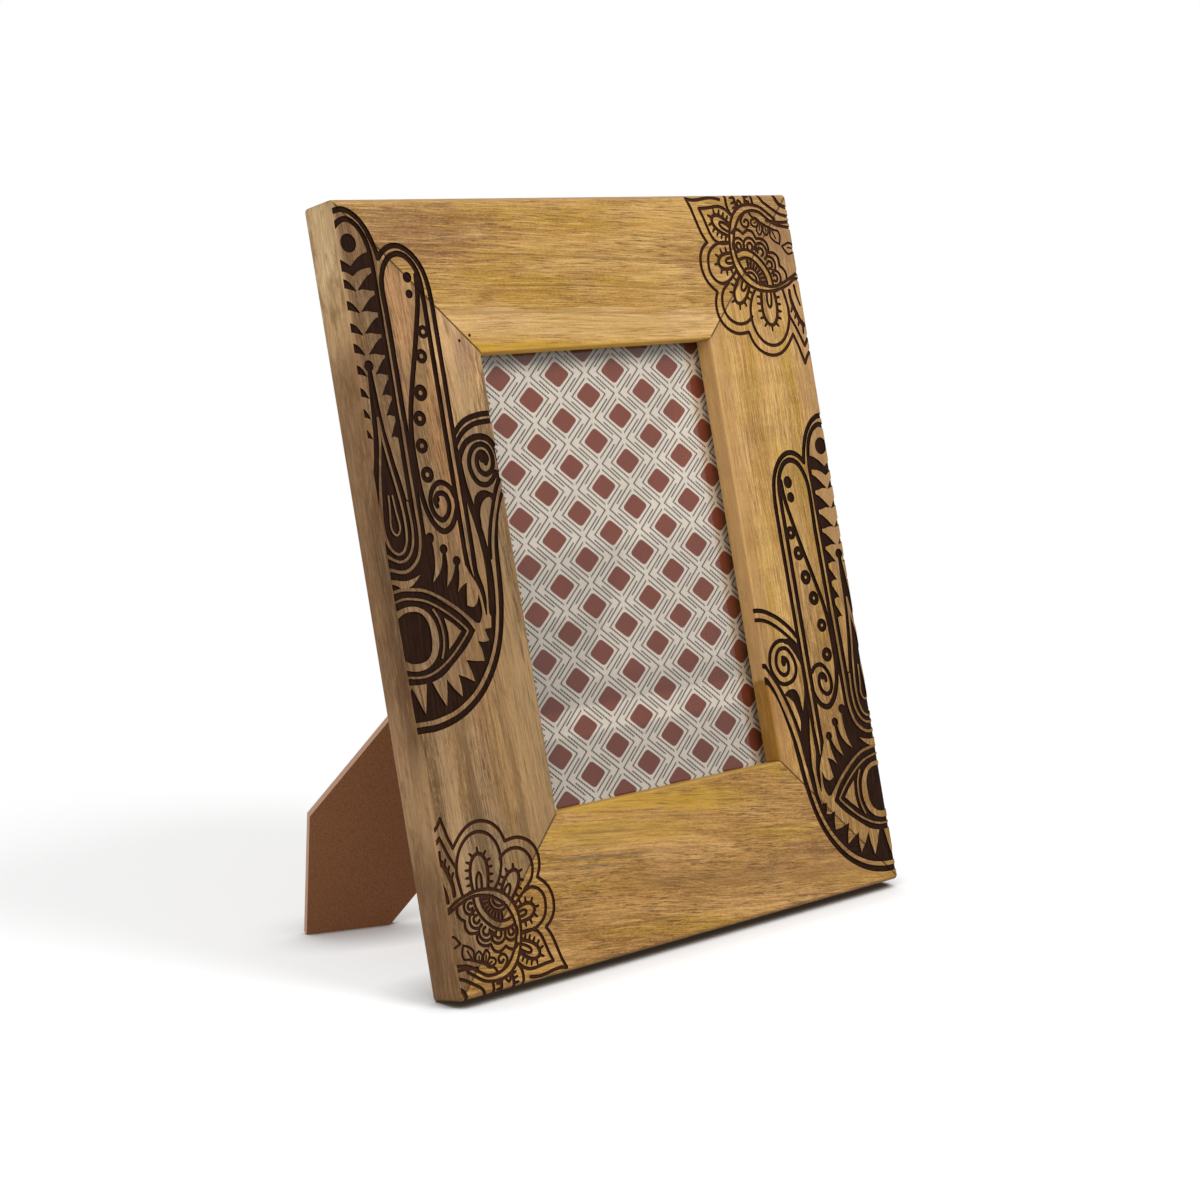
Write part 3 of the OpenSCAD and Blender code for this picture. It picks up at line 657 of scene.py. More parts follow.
def plan(length, marks):
    """The rail's face cut into triangles along folds and marks. Gives the points and (kind, corners)."""
    outer = stations(length)
    inner = [RAIL_W + (length - 2 * RAIL_W) * s / length for s in outer]
    outline = [Vector((s, 0)) for s in outer] + [Vector((s, RAIL_W)) for s in reversed(inner)]
    points, edges, faces, kinds = list(outline), [], [list(range(len(outline)))], [BARE]

    def line(a, b):
        edges.append((len(points), len(points) + 1))
        points.extend((Vector(a), Vector(b)))

    for d in ease_lines():
        line((d, d), (length - d, d))
    bevel = MITRE_BEVEL * math.sqrt(2)
    line((bevel, 0), (RAIL_W + bevel, RAIL_W))
    line((length - bevel, 0), (length - RAIL_W - bevel, RAIL_W))
    for s in outer[1:5]:
        line((s, 0), (s, s))
        line((length - s, 0), (length - s, s))
    for kind, shape in marks:
        if signed_area(shape) < 0:
            shape = shape[::-1]
        faces.append(list(range(len(points), len(points) + len(shape))))
        points.extend(shape)
        kinds.append(kind)
    verts, _, tris, _, _, origins = delaunay_2d_cdt(points, edges, faces, 0, 1e-4, True)
    kept = [(kinds[max(origin)], tuple(tri)) for tri, origin in zip(tris, origins) if 0 in origin]
    return verts, kept


def carved_rail(name, marks):
    """One rail as a closed mesh: its face with the marks cut in, its edges, rebate, back and mitres."""
    length, place, locate = RAILS[name]
    local = []
    for kind, outline in marks:
        shape = [Vector(locate(*p)) for p in outline]
        if max(p.y for p in shape) > 0 and min(p.y for p in shape) < RAIL_W:
            local.append((kind, shape))
    verts, tris = plan(length, local)

    bm = bmesh.new()
    board = bm.verts.layers.float_vector.new("board")
    facing = bm.faces.layers.int.new("facing")
    scorch = bm.faces.layers.float.new("scorch")

    def vert(s, d, y):
        x, z = round_corner(*place(s, d))
        v = bm.verts.new(STAND @ Vector((x, y, z)))
        v[board] = (s, d, y)
        return v

    copies = {}

    def copy(i, burnt):
        key = (i, burnt)
        if key not in copies:
            s, d = verts[i]
            y = face_depth(s, d, length)
            copies[key] = vert(s, d, y + (cut_depth(d) if burnt else 0))
        return copies[key]

    def face(corners, kind, front=0):
        f = bm.faces.new(corners)
        f.material_index = kind == BURNT
        f[facing] = front
        f[scorch] = SCORCH[kind]

    level = {}
    sides = {}
    for kind, tri in tris:
        burnt = kind == BURNT
        face([copy(i, burnt) for i in tri], kind, 1)
        for a, b in zip(tri, tri[1:] + tri[:1]):
            level[a, b] = burnt
            sides.setdefault((min(a, b), max(a, b)), []).append(burnt)
    for (a, b), burnt in sides.items():
        if len(burnt) == 2 and burnt[0] != burnt[1]:
            face([copy(a, False), copy(b, False), copy(b, True), copy(a, True)], BURNT)

    def chain(indices):
        out = []
        for k, i in enumerate(indices):
            near = []
            if k:
                near.append(sides[min(indices[k - 1], i), max(indices[k - 1], i)][0])
            if k < len(indices) - 1:
                near.append(sides[min(indices[k + 1], i), max(indices[k + 1], i)][0])
            for burnt in dict.fromkeys(near):
                out.append(copy(i, burnt))
        return out

    used = {i for _, tri in tris for i in tri}
    tiny = 1e-3
    outer_edge = sorted((i for i in used if abs(verts[i].y) < tiny), key=lambda i: verts[i].x)
    inner_edge = sorted((i for i in used if abs(verts[i].y - RAIL_W) < tiny), key=lambda i: verts[i].x)
    ends = [
        sorted((i for i in used if abs(verts[i].x - verts[i].y) < tiny), key=lambda i: verts[i].y),
        sorted((i for i in used if abs(length - verts[i].x - verts[i].y) < tiny), key=lambda i: verts[i].y),
    ]
    marks_along = stations(length)
    profile = [(0, RAIL_T - BACK_EASE)]
    for a in (30, 60, 90):
        t = math.radians(a)
        profile.append((BACK_EASE * (1 - math.cos(t)), RAIL_T - BACK_EASE + BACK_EASE * math.sin(t)))
    profile += [(REBATE_EDGE, RAIL_T), (REBATE_EDGE, LIP_T), (RAIL_W, LIP_T)]
    rows = []
    for d, y in profile:
        rows.append([vert(d + (length - 2 * d) * s / length, d, y) for s in marks_along])
    for row, lower in zip(rows, rows[1:]):
        for k in range(len(row) - 1):
            face([row[k], row[k + 1], lower[k + 1], lower[k]], BARE)
    inner_marks = [RAIL_W + (length - 2 * RAIL_W) * s / length for s in marks_along]
    for edge, row, at in ((outer_edge, rows[0], marks_along), (inner_edge, rows[-1], inner_marks)):
        for k in range(len(at) - 1):
            part = [i for i in edge if at[k] - tiny < verts[i].x < at[k + 1] + tiny]
            face(chain(part) + [row[k + 1], row[k]], BARE)
    for edge, k in ((ends[0], 0), (ends[1], -1)):
        face(chain(edge) + [row[k] for row in reversed(rows)], BARE)

    bmesh.ops.recalc_face_normals(bm, faces=bm.faces)
    mesh = bpy.data.meshes.new("carved_" + name)
    bm.to_mesh(mesh)
    bm.free()
    set_face_normals(mesh, length, place)
    return in_scene("carved_" + name, mesh)


def set_face_normals(mesh, length, place):
    """Gives the carved face the true normals of its eased shape, so that long triangles don't show."""
    mesh.polygons.foreach_set("use_smooth", [True] * len(mesh.polygons))
    mesh.set_sharp_from_angle(angle=math.radians(35))
    board = mesh.attributes["board"].data
    facing = mesh.attributes["facing"].data
    origin, along, across = (Vector(place(*p)) for p in ((0, 0), (1, 0), (0, 1)))
    along -= origin
    across -= origin
    turn = STAND.to_3x3().normalized()
    normals = [(0, 0, 0)] * len(mesh.loops)
    step = 0.01
    for face in mesh.polygons:
        if not facing[face.index].value:
            continue
        spots = [Vector(board[v].vector[:2]) for v in face.vertices]
        middle = sum(spots, Vector((0, 0))) / len(spots)
        for loop, spot in zip(face.loop_indices, spots):
            s, d = spot.lerp(middle, 0.03)
            y = face_depth(s, d, length)
            rise_along = face_depth(s + step, d, length) - y
            rise_across = face_depth(s, d + step, length) - y
            slope = along * rise_along + across * rise_across
            normals[loop] = turn @ Vector((slope.x / step, -1, slope.y / step)).normalized()
    mesh.normals_split_custom_set(normals)


# Materials


class Nodes:
    """A node tree that is built one call at a time. Inputs may be numbers, colours or sockets."""

    def __init__(self, tree):
        self.tree = tree

    def node(self, kind, inputs=(), **settings):
        """A new shader node of this kind, with its inputs fed and its settings made."""
        made = self.tree.nodes.new("ShaderNode" + kind)
        for key, value in settings.items():
            setattr(made, key, value)
        for key, value in dict(inputs).items():
            self.feed(made.inputs[key], value)
        return made

    def feed(self, socket, value):
        """Links a socket to another, or gives it a value."""
        if isinstance(value, bpy.types.NodeSocket):
            self.tree.links.new(value, socket)
        elif socket.type == "RGBA" and len(value) == 3:
            socket.default_value = (*value, 1)
        else:
            socket.default_value = value

    def math(self, operation, a, b=0.0):
        return self.node("Math", {0: a, 1: b}, operation=operation).outputs[0]

    def add(self, a, b):
        return self.math("ADD", a, b)

    def minus(self, a, b):
        return self.math("SUBTRACT", a, b)

    def apart(self, a, b):
        return self.math("ABSOLUTE", self.minus(a, b))

    def times(self, a, b):
        return self.math("MULTIPLY", a, b)

    def hypot(self, u, v):
        return self.math("SQRT", self.add(self.times(u, u), self.times(v, v)))

    def split(self, vector):
        return self.node("SeparateXYZ", {"Vector": vector}).outputs

    def place(self):
        """The place on the object, in millimetres along its own axes."""
        return [self.times(v, 1 / MM) for v in self.split(self.node("TexCoord").outputs["Object"])]

    def board(self):
        """The place on a rail: along it, in from its outer edge and back from its face."""
        return self.split(self.node("Attribute", attribute_name="board").outputs["Vector"])

    def noise(self, place, sizes, detail, rough, seed):
        """Noise whose lumps have these sizes in millimetres along the three axes."""
        x, y, z = (self.times(v, 1 / size) for v, size in zip(place, sizes))
        at = self.node("CombineXYZ", {"X": x, "Y": y, "Z": z}).outputs[0]
        made = self.node("TexNoise", {"Vector": at, "Scale": 1.0, "Detail": detail, "Roughness": rough,
            "W": seed}, noise_dimensions="4D")
        return made.outputs["Fac"]

    def step(self, value, low, high):
        """Rises smoothly from 0 at low to 1 at high."""
        made = self.node("MapRange", {"Value": value, "From Min": low, "From Max": high},
            interpolation_type="SMOOTHSTEP")
        return made.outputs["Result"]

    def mix(self, amount, a, b, blend="MIX"):
        made = self.node("Mix", {"Factor": amount}, data_type="RGBA", blend_type=blend)
        self.feed(made.inputs[6], a)
        self.feed(made.inputs[7], b)
        return made.outputs[2]

    def seen(self):
        """1 where the eye sees the background: straight on, through glass or mirrored in metal."""
        rays = self.node("LightPath").outputs
        through = self.math("MAXIMUM", rays["Is Camera Ray"], rays["Is Transmission Ray"])
        return self.math("MAXIMUM", through, rays["Is Glossy Ray"])


class Surface(Nodes):
    """A material with one principled shader."""

    def __init__(self, name):
        self.material = bpy.data.materials.new(name)
        self.material.use_nodes = True
        super().__init__(self.material.node_tree)
        self.shader = self.tree.nodes["Principled BSDF"]
        self.output = self.tree.nodes["Material Output"]

    def bump(self, height, distance, strength):
        made = self.node("Bump", {"Height": height, "Distance": distance * MM, "Strength": strength})
        self.feed(self.shader.inputs["Normal"], made.outputs[0])

    def put(self, **inputs):
        for key, value in inputs.items():
            self.feed(self.shader.inputs[key.replace("_", " ")], value)

    def show(self, amount, other):
        """Shows this share of another shader in place of the principled one."""
        pick = self.node("MixShader", {0: amount, 1: self.shader.outputs[0], 2: other.outputs[0]})
        self.feed(self.output.inputs["Surface"], pick.outputs[0])


def rgb(*levels):
    """A linear colour from the usual 0 to 255 values."""
    return tuple(c / 255 / 12.92 if c < 10.3 else ((c / 255 + 0.055) / 1.055) ** 2.4 for c in levels)


# Each streak has its distance in, start, end, half width, colour and amount, each spot its place, length,
# width, colour and amount, and each zone of the outer side its place, half length, colour, amount and depth
WOODS = {
    "top_rail": dict(
        pale=(202, 160, 94), deep=(174, 130, 62), gold=(172, 132, 44), grey=(176, 134, 88),
        vein=(112, 74, 34), light=(232, 194, 128),
        side=(176, 142, 104), lip=(196, 150, 70), thin=(160, 300), slope=-0.045, seed=3.1, gilt=0.8,
        patch=0.6, flame=0.1, pore=0.8, long=2.2, stripe=0.3, bend=3,
        streaks=[(56.2, -60, 190, 2.0, (186, 142, 22), 0.7), (46.5, 30, 260, 0.35, (104, 66, 30), 0.7),
                 (35.5, 40, 220, 0.3, (104, 66, 30), 0.5), (24.5, 20, 260, 0.35, (112, 72, 36), 0.5),
                 (17, -40, 90, 0.5, (104, 66, 30), 0.5), (40, 160, 260, 3, (150, 112, 40), 0.5),
                 (50, -60, 330, 5, (228, 190, 138), 0.35)],
        spots=[(64, 13, 9, 3, (214, 176, 132), 0.35), (40, 14, 44, 13, (142, 100, 56), 0.7),
               (182, 25, 26, 9, (146, 104, 60), 0.5),
               (222, 8, 30, 16, (146, 108, 80), 0.6), (20, 12, 40, 14, (150, 112, 76), 0.6)],
        holes=[(53.7, 51.2)],
    ),
    "bottom_rail": dict(
        pale=(196, 150, 90), deep=(158, 114, 56), gold=(184, 144, 52), grey=(158, 120, 74),
        vein=(92, 60, 32), light=(220, 180, 120),
        side=(120, 88, 56), lip=(190, 150, 70), thin=(-60, 75), slope=0.15, seed=7.7, gilt=0.6, patch=0.6,
        flame=0.15, pore=0.8, long=1.2, stripe=0.4, bend=7,
        streaks=[(57, 10, 175, 4.5, (190, 150, 48), 0.6), (47, 10, 150, 4.0, (190, 150, 58), 0.5),
                 (16, 60, 260, 3.5, (126, 90, 54), 0.4), (38, 38, 120, 0.5, (112, 92, 78), 0.8),
                 (35.5, 34, 112, 0.4, (112, 92, 78), 0.7), (47, 44, 120, 0.6, (104, 78, 48), 0.6)],
        spots=[(76, 46, 20, 4, (132, 104, 70), 0.5), (196, 22, 26, 8, (128, 94, 66), 0.5),
               (204, 34.6, 4, 2.5, (104, 70, 40), 0.6), (108, 30, 12, 9, (196, 150, 96), 0.4)],
    ),
    "left_stile": dict(
        pale=(156, 122, 84), deep=(120, 90, 58), gold=(146, 112, 66), grey=(132, 110, 82),
        vein=(78, 54, 34), light=(190, 156, 112),
        side=(120, 86, 54), side_end=(226, 184, 132), lip=(150, 118, 84), thin=(-60, 75), slope=0.05,
        seed=12.4, gilt=0.6, patch=0.8, flame=0.2, pore=0.8, long=1.5, stripe=0.42, bend=6,
        streaks=[(23, -60, 130, 2.2, (92, 66, 40), 0.65), (13, -60, 120, 3.5, (176, 144, 104), 0.5),
                 (36, -60, 160, 3, (150, 114, 68), 0.35), (50, -20, 260, 5, (132, 114, 86), 0.5),
                 (28, 60, 150, 1.4, (176, 120, 84), 0.2), (46, 30, 190, 9, (184, 144, 94), 0.45),
                 (44, -60, 120, 1.2, (98, 72, 44), 0.5)],
        spots=[(226, 45, 30, 13, (240, 190, 132), 0.78), (246, 22, 20, 7, (220, 164, 112), 0.68),
               (186, 33, 32, 7, (196, 138, 84), 0.55),
               (216, 19, 12, 6, (180, 136, 96), 0.5), (109, 55, 14, 5, (196, 158, 112), 0.4),
               (228, 50, 12, 5, (150, 110, 96), 0.5), (20, 8, 30, 8, (112, 84, 54), 0.5),
               (60, 2, 80, 5, (92, 66, 40), 0.65)],
        side_zones=[(272, 16, (255, 218, 164), 0.85, 30), (214, 20, (126, 86, 56), 0.65, 30),
                    (78, 28, (208, 166, 120), 0.75, 30), (30, 14, (150, 114, 82), 0.5, 30),
                    (140, 50, (156, 118, 84), 0.5, 30), (138, 52, (80, 52, 33), 0.75, 8),
                    (272, 16, (150, 110, 78), 0.5, 3)],
        holes=[(233.8, 48.5)],
    ),
    "right_stile": dict(
        pale=(214, 170, 104), deep=(182, 138, 72), gold=(176, 138, 50), grey=(190, 148, 102),
        vein=(118, 80, 40), light=(232, 198, 140),
        # The right stile's lower lip colour is a painted shade on that wall below about 91 mm
        side=(150, 112, 70), lip=(214, 168, 112), lip_painted_shade_low=(160, 112, 40), thin=(200, 400), slope=0.0,
        seed=21.9, gilt=0.8, patch=0.6, flame=0.5, pore=0.7, long=1.6, stripe=0.36, bend=7,
        streaks=[(51, 90, 130, 2.0, (150, 100, 54), 0.4), (54.5, -60, 345, 4, (164, 122, 80), 0.5),
                 (4, 90, 330, 6, (156, 118, 88), 0.5)],
        spots=[(115.5, 56.5, 4, 1.5, (150, 60, 40), 0.5), (150, 52, 18, 4, (170, 132, 60), 0.5),
               (62, 62, 40, 12, (156, 112, 50), 0.75), (50, 14, 74, 36, (140, 102, 54), 0.8),
               (186, 40, 14, 7, (164, 122, 64), 0.5),
               (272, 12, 26, 15, (146, 108, 80), 0.6)],
    ),
}


def wood(name, look, length):
    """Mango wood along a rail: tones, veins, growth lines, fibres, pores, cross figure and named marks."""
    m = Surface(name)
    s, d, y = m.board()
    seed = look["seed"]

    def grain(long, wide, detail, rough, number, side=0.0):
        return m.noise((s, across, y), (long, wide, side or wide), detail, rough, seed + number)

    across = m.add(d, m.times(y, 0.3))
    wander = grain(80, 45, 1.5, 0.5, 0)
    ripple = grain(24, 6, 1, 0.5, 9)
    across = m.add(m.add(across, m.times(s, look["slope"])), m.add(m.times(wander, look["bend"]),
        m.times(ripple, 0.5)))
    vein_tint = rgb(*look["vein"])
    colour = m.mix(m.step(grain(130, 15, 3, 0.6, 1), 0.35, 0.65), rgb(*look["pale"]), rgb(*look["deep"]))
    colour = m.mix(m.times(m.step(grain(75, 9, 2, 0.5, 2), 0.45, 0.68), look["gilt"]), colour,
        rgb(*look["gold"]))
    patch = grain(38, 20, 3, 0.6, 3)
    colour = m.mix(m.times(m.step(patch, 0.45, 0.7), look["patch"]), colour, rgb(*look["grey"]))
    torn = m.minus(grain(9 * look["long"], 1.5, 3, 0.65, 12), 0.5)
    for at_s, at_d, long, wide, tint, amount in look["spots"]:
        u = m.times(m.minus(s, at_s), 1 / long)
        v = m.times(m.minus(d, at_d), 1 / wide)
        away = m.hypot(u, v)
        inside = m.step(m.add(away, m.times(torn, 3.5)), 1.15, 0.45)
        colour = m.mix(m.times(inside, amount), colour, rgb(*tint))
    veins = m.step(grain(45 * look["long"], 2.2, 4, 0.65, 4), 0.47, 0.66)
    colour = m.mix(m.times(veins, look["stripe"] * 0.7), colour, vein_tint)
    contour = m.apart(m.math("FRACT", m.times(grain(260, 22, 1.5, 0.4, 5), 13)), 0.5)
    growth = m.times(m.step(contour, 0.08, 0.0), m.step(grain(50, 6, 1, 0.5, 6), 0.42, 0.58))
    colour = m.mix(m.times(growth, 0.45), colour, vein_tint)
    flame = grain(6.5, 28, 2, 0.5, 7)
    colour = m.mix(m.times(m.step(flame, 0.42, 0.7), look["flame"] * 0.4), colour, vein_tint)
    fibre = grain(12 * look["long"], 0.7, 4, 0.75, 8)
    dark_fibre = m.step(fibre, 0.47, 0.62)
    colour = m.mix(m.times(dark_fibre, look["stripe"]), colour, vein_tint)
    colour = m.mix(m.times(m.step(fibre, 0.49, 0.36), 0.4), colour, rgb(*look["light"]))
    pores = m.step(grain(5 * look["long"], 0.42, 1.5, 0.5, 10), 0.56, 0.62)
    pore = m.times(pores, m.times(m.step(patch, 0.3, 0.55), look["pore"]))
    colour = m.mix(m.times(pore, 0.7), colour, rgb(66, 42, 22))
    speck = grain(1.5, 0.5, 2, 0.6, 14)
    colour = m.mix(m.times(m.step(speck, 0.5, 0.64), 0.16), colour, vein_tint)
    colour = m.mix(m.times(m.step(speck, 0.5, 0.36), 0.16), colour, rgb(*look["light"]))
    for at, start, end, half, tint, amount in look["streaks"]:
        middle = at + look["bend"] / 2 + 0.3 + look["slope"] * (start + end) / 2
        off = m.apart(across, middle)
        band = m.step(m.add(off, m.times(torn, half * 4)), half * 1.5, half * 0.5)
        reach = m.times(m.step(s, start, start + 40), m.step(s, end, end - 50))
        shown = m.minus(amount, m.times(dark_fibre, amount * 0.5))
        colour = m.mix(m.times(m.times(band, reach), shown), colour, rgb(*tint))
    for at_s, at_d in look.get("holes", ()):
        u, v = m.minus(s, at_s), m.minus(d, at_d)
        away = m.hypot(u, v)
        colour = m.mix(m.step(away, 0.85, 0.45), colour, rgb(34, 20, 12))
    joint = m.math("MINIMUM", m.minus(s, d), m.minus(length, m.add(s, d)))
    colour = m.mix(m.times(m.step(joint, 0.8, 0.25), 0.75), colour, rgb(62, 38, 20))
    rim = m.times(m.step(d, 2.2, 0.4), m.add(m.times(m.step(fibre, 0.4, 0.6), 0.4), 0.45))
    side = m.mix(m.step(m.add(s, m.times(patch, 60)), 190, 290), rgb(*look["side"]),
        rgb(*look.get("side_end", look["side"])))
    for at, half, tint, amount, deepest in look.get("side_zones", ()):
        off = m.apart(m.add(s, m.times(patch, 30)), at + 15)
        near = m.step(m.add(y, m.times(torn, 6)), deepest + 3, deepest - 3)
        side = m.mix(m.times(m.times(m.step(off, half * 1.4, half * 0.6), near), amount), side, rgb(*tint))
    colour = m.mix(rim, colour, side)
    blotch = grain(12, 30, 4, 0.65, 11, 5)
    outside = m.step(d, 0.6, 0.0)
    streak = grain(26, 1.1, 3, 0.7, 13)
    colour = m.mix(m.times(m.times(outside, m.step(blotch, 0.46, 0.64)), 0.5), colour, rgb(112, 74, 40))
    colour = m.mix(m.times(m.times(outside, m.step(streak, 0.52, 0.7)), 0.3), colour, rgb(206, 164, 112))
    colour = m.mix(m.times(m.times(outside, m.step(streak, 0.48, 0.3)), 0.3), colour, rgb(92, 60, 34))
    # On the right stile the lip is painted darker below about 91 mm along it, a painted shade on the lower
    # part of that wall
    lip_tint = m.mix(m.step(m.add(s, m.times(torn, 8)), 91.5, 90), rgb(*look["lip"]),
        rgb(*look.get("lip_painted_shade_low", look["lip"])))
    colour = m.mix(m.times(m.step(d, 56.8, 57.6), 0.6), colour, lip_tint)
    scorch = m.node("Attribute", attribute_name="scorch").outputs["Fac"]
    colour = m.mix(scorch, colour, rgb(84, 56, 36))
    m.put(Base_Color=colour, Roughness=m.add(m.times(fibre, 0.25), 0.42), Specular_IOR_Level=0.09)
    height = m.minus(m.times(m.add(fibre, m.times(ripple, 0.3)), 0.5), m.times(pore, 0.6))
    m.bump(height, 0.15, 0.7)
    return m.material


def burnt_wood(name, seed, start, end):
    """The charred floor of the marks, browner between start and end where the flower's lines are thin."""
    m = Surface(name)
    s, d, y = m.board()
    fibre = m.noise((s, d, y), (8, 0.7, 0.7), 3, 0.6, seed)
    patch = m.noise((s, d, y), (9, 7, 7), 2, 0.5, seed + 1)
    colour = m.mix(m.step(fibre, 0.35, 0.75), rgb(31, 17, 10), rgb(52, 32, 22))
    colour = m.mix(m.times(m.step(patch, 0.4, 0.75), 0.5), colour, rgb(42, 26, 17))
    thin = m.times(m.step(s, start, start + 6), m.step(s, end, end - 6))
    colour = m.mix(m.times(thin, 0.75), colour, rgb(70, 42, 28))
    lines = m.math("SINE", m.times(m.add(s, d), 2 * math.pi / 0.8))
    m.put(Base_Color=colour, Roughness=m.add(m.times(fibre, 0.25), 0.55), Specular_IOR_Level=0.03)
    m.bump(m.add(fibre, m.times(lines, 0.15)), 0.12, 0.5)
    return m.material


def frame_axes(m):
    """The leaning frame's own x and z in millimetres, for a surface of the CAD model."""
    x, y, z = m.place()
    y, z = m.minus(y, BACK_FOOT[1]), m.minus(z, BACK_FOOT[2])
    up = m.add(m.times(z, math.cos(LEAN)), m.times(y, math.sin(LEAN)))
    back = m.minus(m.times(y, math.cos(LEAN)), m.times(z, math.sin(LEAN)))
    return x, up, m.add(back, RAIL_T)


def printed_sheet():
    """Paper printed with rounded diamonds in a lattice of broken chevrons, with a painted warm shade along
    its right edge.
    """
    column_pitch = 14.72
    row_pitch = 8.95
    first = (-2.0, 175.3)
    m = Surface("printed_paper")
    x, z, _ = frame_axes(m)
    red = 0.0
    ink = 0.0
    for k in (0, 1):
        ax = m.math("PINGPONG", m.minus(x, first[0] + k * column_pitch), column_pitch)
        az = m.math("PINGPONG", m.minus(z, first[1] + k * row_pitch), row_pitch)
        wide, high = m.times(ax, 1 / 6.8), m.times(az, 1 / 5.45)
        corner = m.math("POWER", m.apart(wide, high), 6)
        red = m.math("MAXIMUM", red, m.step(m.add(m.math("POWER", m.add(wide, high), 6), corner), 1.15,
            0.85))
        for half, rise, gap_x, most_z in ((8.65, 7.25, 0.6, 9.0), (13.4, 11.9, 5.2, 7.2)):
            off = m.apart(m.add(ax, m.times(az, half / rise)), half)
            line = m.step(off, 0.62, 0.42)
            kept = m.times(m.step(ax, gap_x - 0.2, gap_x + 0.2), m.step(az, most_z + 0.2, most_z - 0.2))
            ink = m.math("MAXIMUM", ink, m.times(line, kept))
    dashes = m.step(m.math("SINE", m.times(m.add(x, m.times(z, 0.2)), 2 * math.pi / 0.95)), -0.6, 0.3)
    mottle = m.noise((x, z, 0), (7, 7, 7), 2, 0.5, 5)
    paper = m.mix(mottle, rgb(196, 184, 169), rgb(212, 200, 185))
    paper = m.mix(m.times(m.step(z, 170, 60), 0.7), paper, rgb(222, 207, 190))
    rust = m.mix(mottle, rgb(102, 35, 6), rgb(121, 48, 14))
    colour = m.mix(m.times(ink, m.add(m.times(dashes, 0.45), 0.55)), paper, rgb(26, 19, 10))
    colour = m.mix(red, colour, rust)
    # Painted shade: a warm darkening along the sheet's right edge, next to the right lip, stands in for
    # that wall's shade and its warm bounced light
    colour = m.mix(m.times(m.step(x, 50, 56), 0.8), colour, rgb(226, 206, 186), "MULTIPLY")
    m.put(Base_Color=colour, Roughness=m.add(m.times(mottle, 0.2), 0.55), Specular_IOR_Level=0.2)
    m.bump(mottle, 0.05, 0.2)
    return m.material


def window_glass():
    """Clear glass that lets the lamps through to the sheet."""
    m = Surface("window_glass")
    m.put(Base_Color=rgb(250, 252, 251), Roughness=0.02, IOR=1.5, Specular_IOR_Level=0.2,
        Transmission_Weight=1.0)
    m.show(m.node("LightPath").outputs["Is Shadow Ray"], m.node("BsdfTransparent"))
    return m.material


def fibreboard(name, node, face, fleck, edge, cut):
    """Pressed fibreboard with short flecks, and paler where a saw cut its edges."""
    m = Surface(name)
    pressed = max(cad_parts[node].data.polygons, key=lambda polygon: polygon.area).normal
    at = m.place()
    fine = m.noise(at, [1 / 1.5] * 3, 4, 0.7, 2)
    broad = m.noise(at, [1 / 0.06] * 3, 2, 0.5, 3)
    grain = m.noise(at, [2] * 3, 2, 0.5, 4)
    colour = m.mix(m.step(fine, 0.4, 0.68), rgb(*face), rgb(*fleck))
    colour = m.mix(m.times(broad, 0.35), colour, rgb(*edge))
    turned = m.node("VectorMath", {0: m.node("TexCoord").outputs["Normal"], 1: tuple(pressed)},
        operation="DOT_PRODUCT").outputs["Value"]
    sawn = m.step(m.math("ABSOLUTE", turned), 0.8, 0.5)
    colour = m.mix(m.times(sawn, m.add(m.times(fine, 0.4), 0.55)), colour, rgb(*cut))
    m.put(Base_Color=colour, Roughness=m.add(m.times(grain, 0.2), 0.6), Specular_IOR_Level=0.2)
    m.bump(m.add(fine, m.times(grain, 0.4)), 0.15, 0.5)
    return m.material


def metal(name, tint, dull, rough):
    """Brushed sheet metal, dulled in soft patches and with a few dark specks."""
    m = Surface(name)
    at = m.place()
    brushed = m.noise(at, (4, 1 / 6, 1 / 6), 2, 0.6, 1)
    patch = m.noise(at, [1 / 0.12] * 3, 3, 0.6, 2)
    speck = m.noise(at, [1 / 1.6] * 3, 2, 0.6, 3)
    colour = m.mix(m.times(m.step(patch, 0.4, 0.7), 0.6), rgb(*tint), rgb(*dull))
    colour = m.mix(m.times(m.step(brushed, 0.4, 0.7), 0.3), colour, rgb(*dull))
    colour = m.mix(m.times(m.step(speck, 0.66, 0.76), 0.6), colour, rgb(70, 56, 40))
    m.put(Base_Color=colour, Metallic=1.0, Roughness=m.add(m.add(m.times(brushed, 0.2),
        m.times(patch, 0.1)), rough))
    m.bump(m.add(brushed, m.times(speck, 0.3)), 0.03, 0.3)
    return m.material


def dress_rails():
    """Replaces the four plain rails with carved ones."""
    worn_edge = [(-117.1, -1), (-117.2, 40), (-117.4, 100), (-117.7, 150), (-117.7, 200), (-117.3, 289)]
    marks = left_hand() + right_hand() + flower() + placed(flower(), lower_flower)
    marks += area(worn_edge, [(OFF, 289), (OFF, -1)], kind=BARE)
    for name, look in WOODS.items():
        piece = carved_rail(name, marks)
        piece.data.materials.append(wood("wood_" + name, look, RAILS[name][0]))
        piece.data.materials.append(burnt_wood("burnt_" + name, look["seed"], *look["thin"]))
        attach(piece, "frame")
        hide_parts(name)


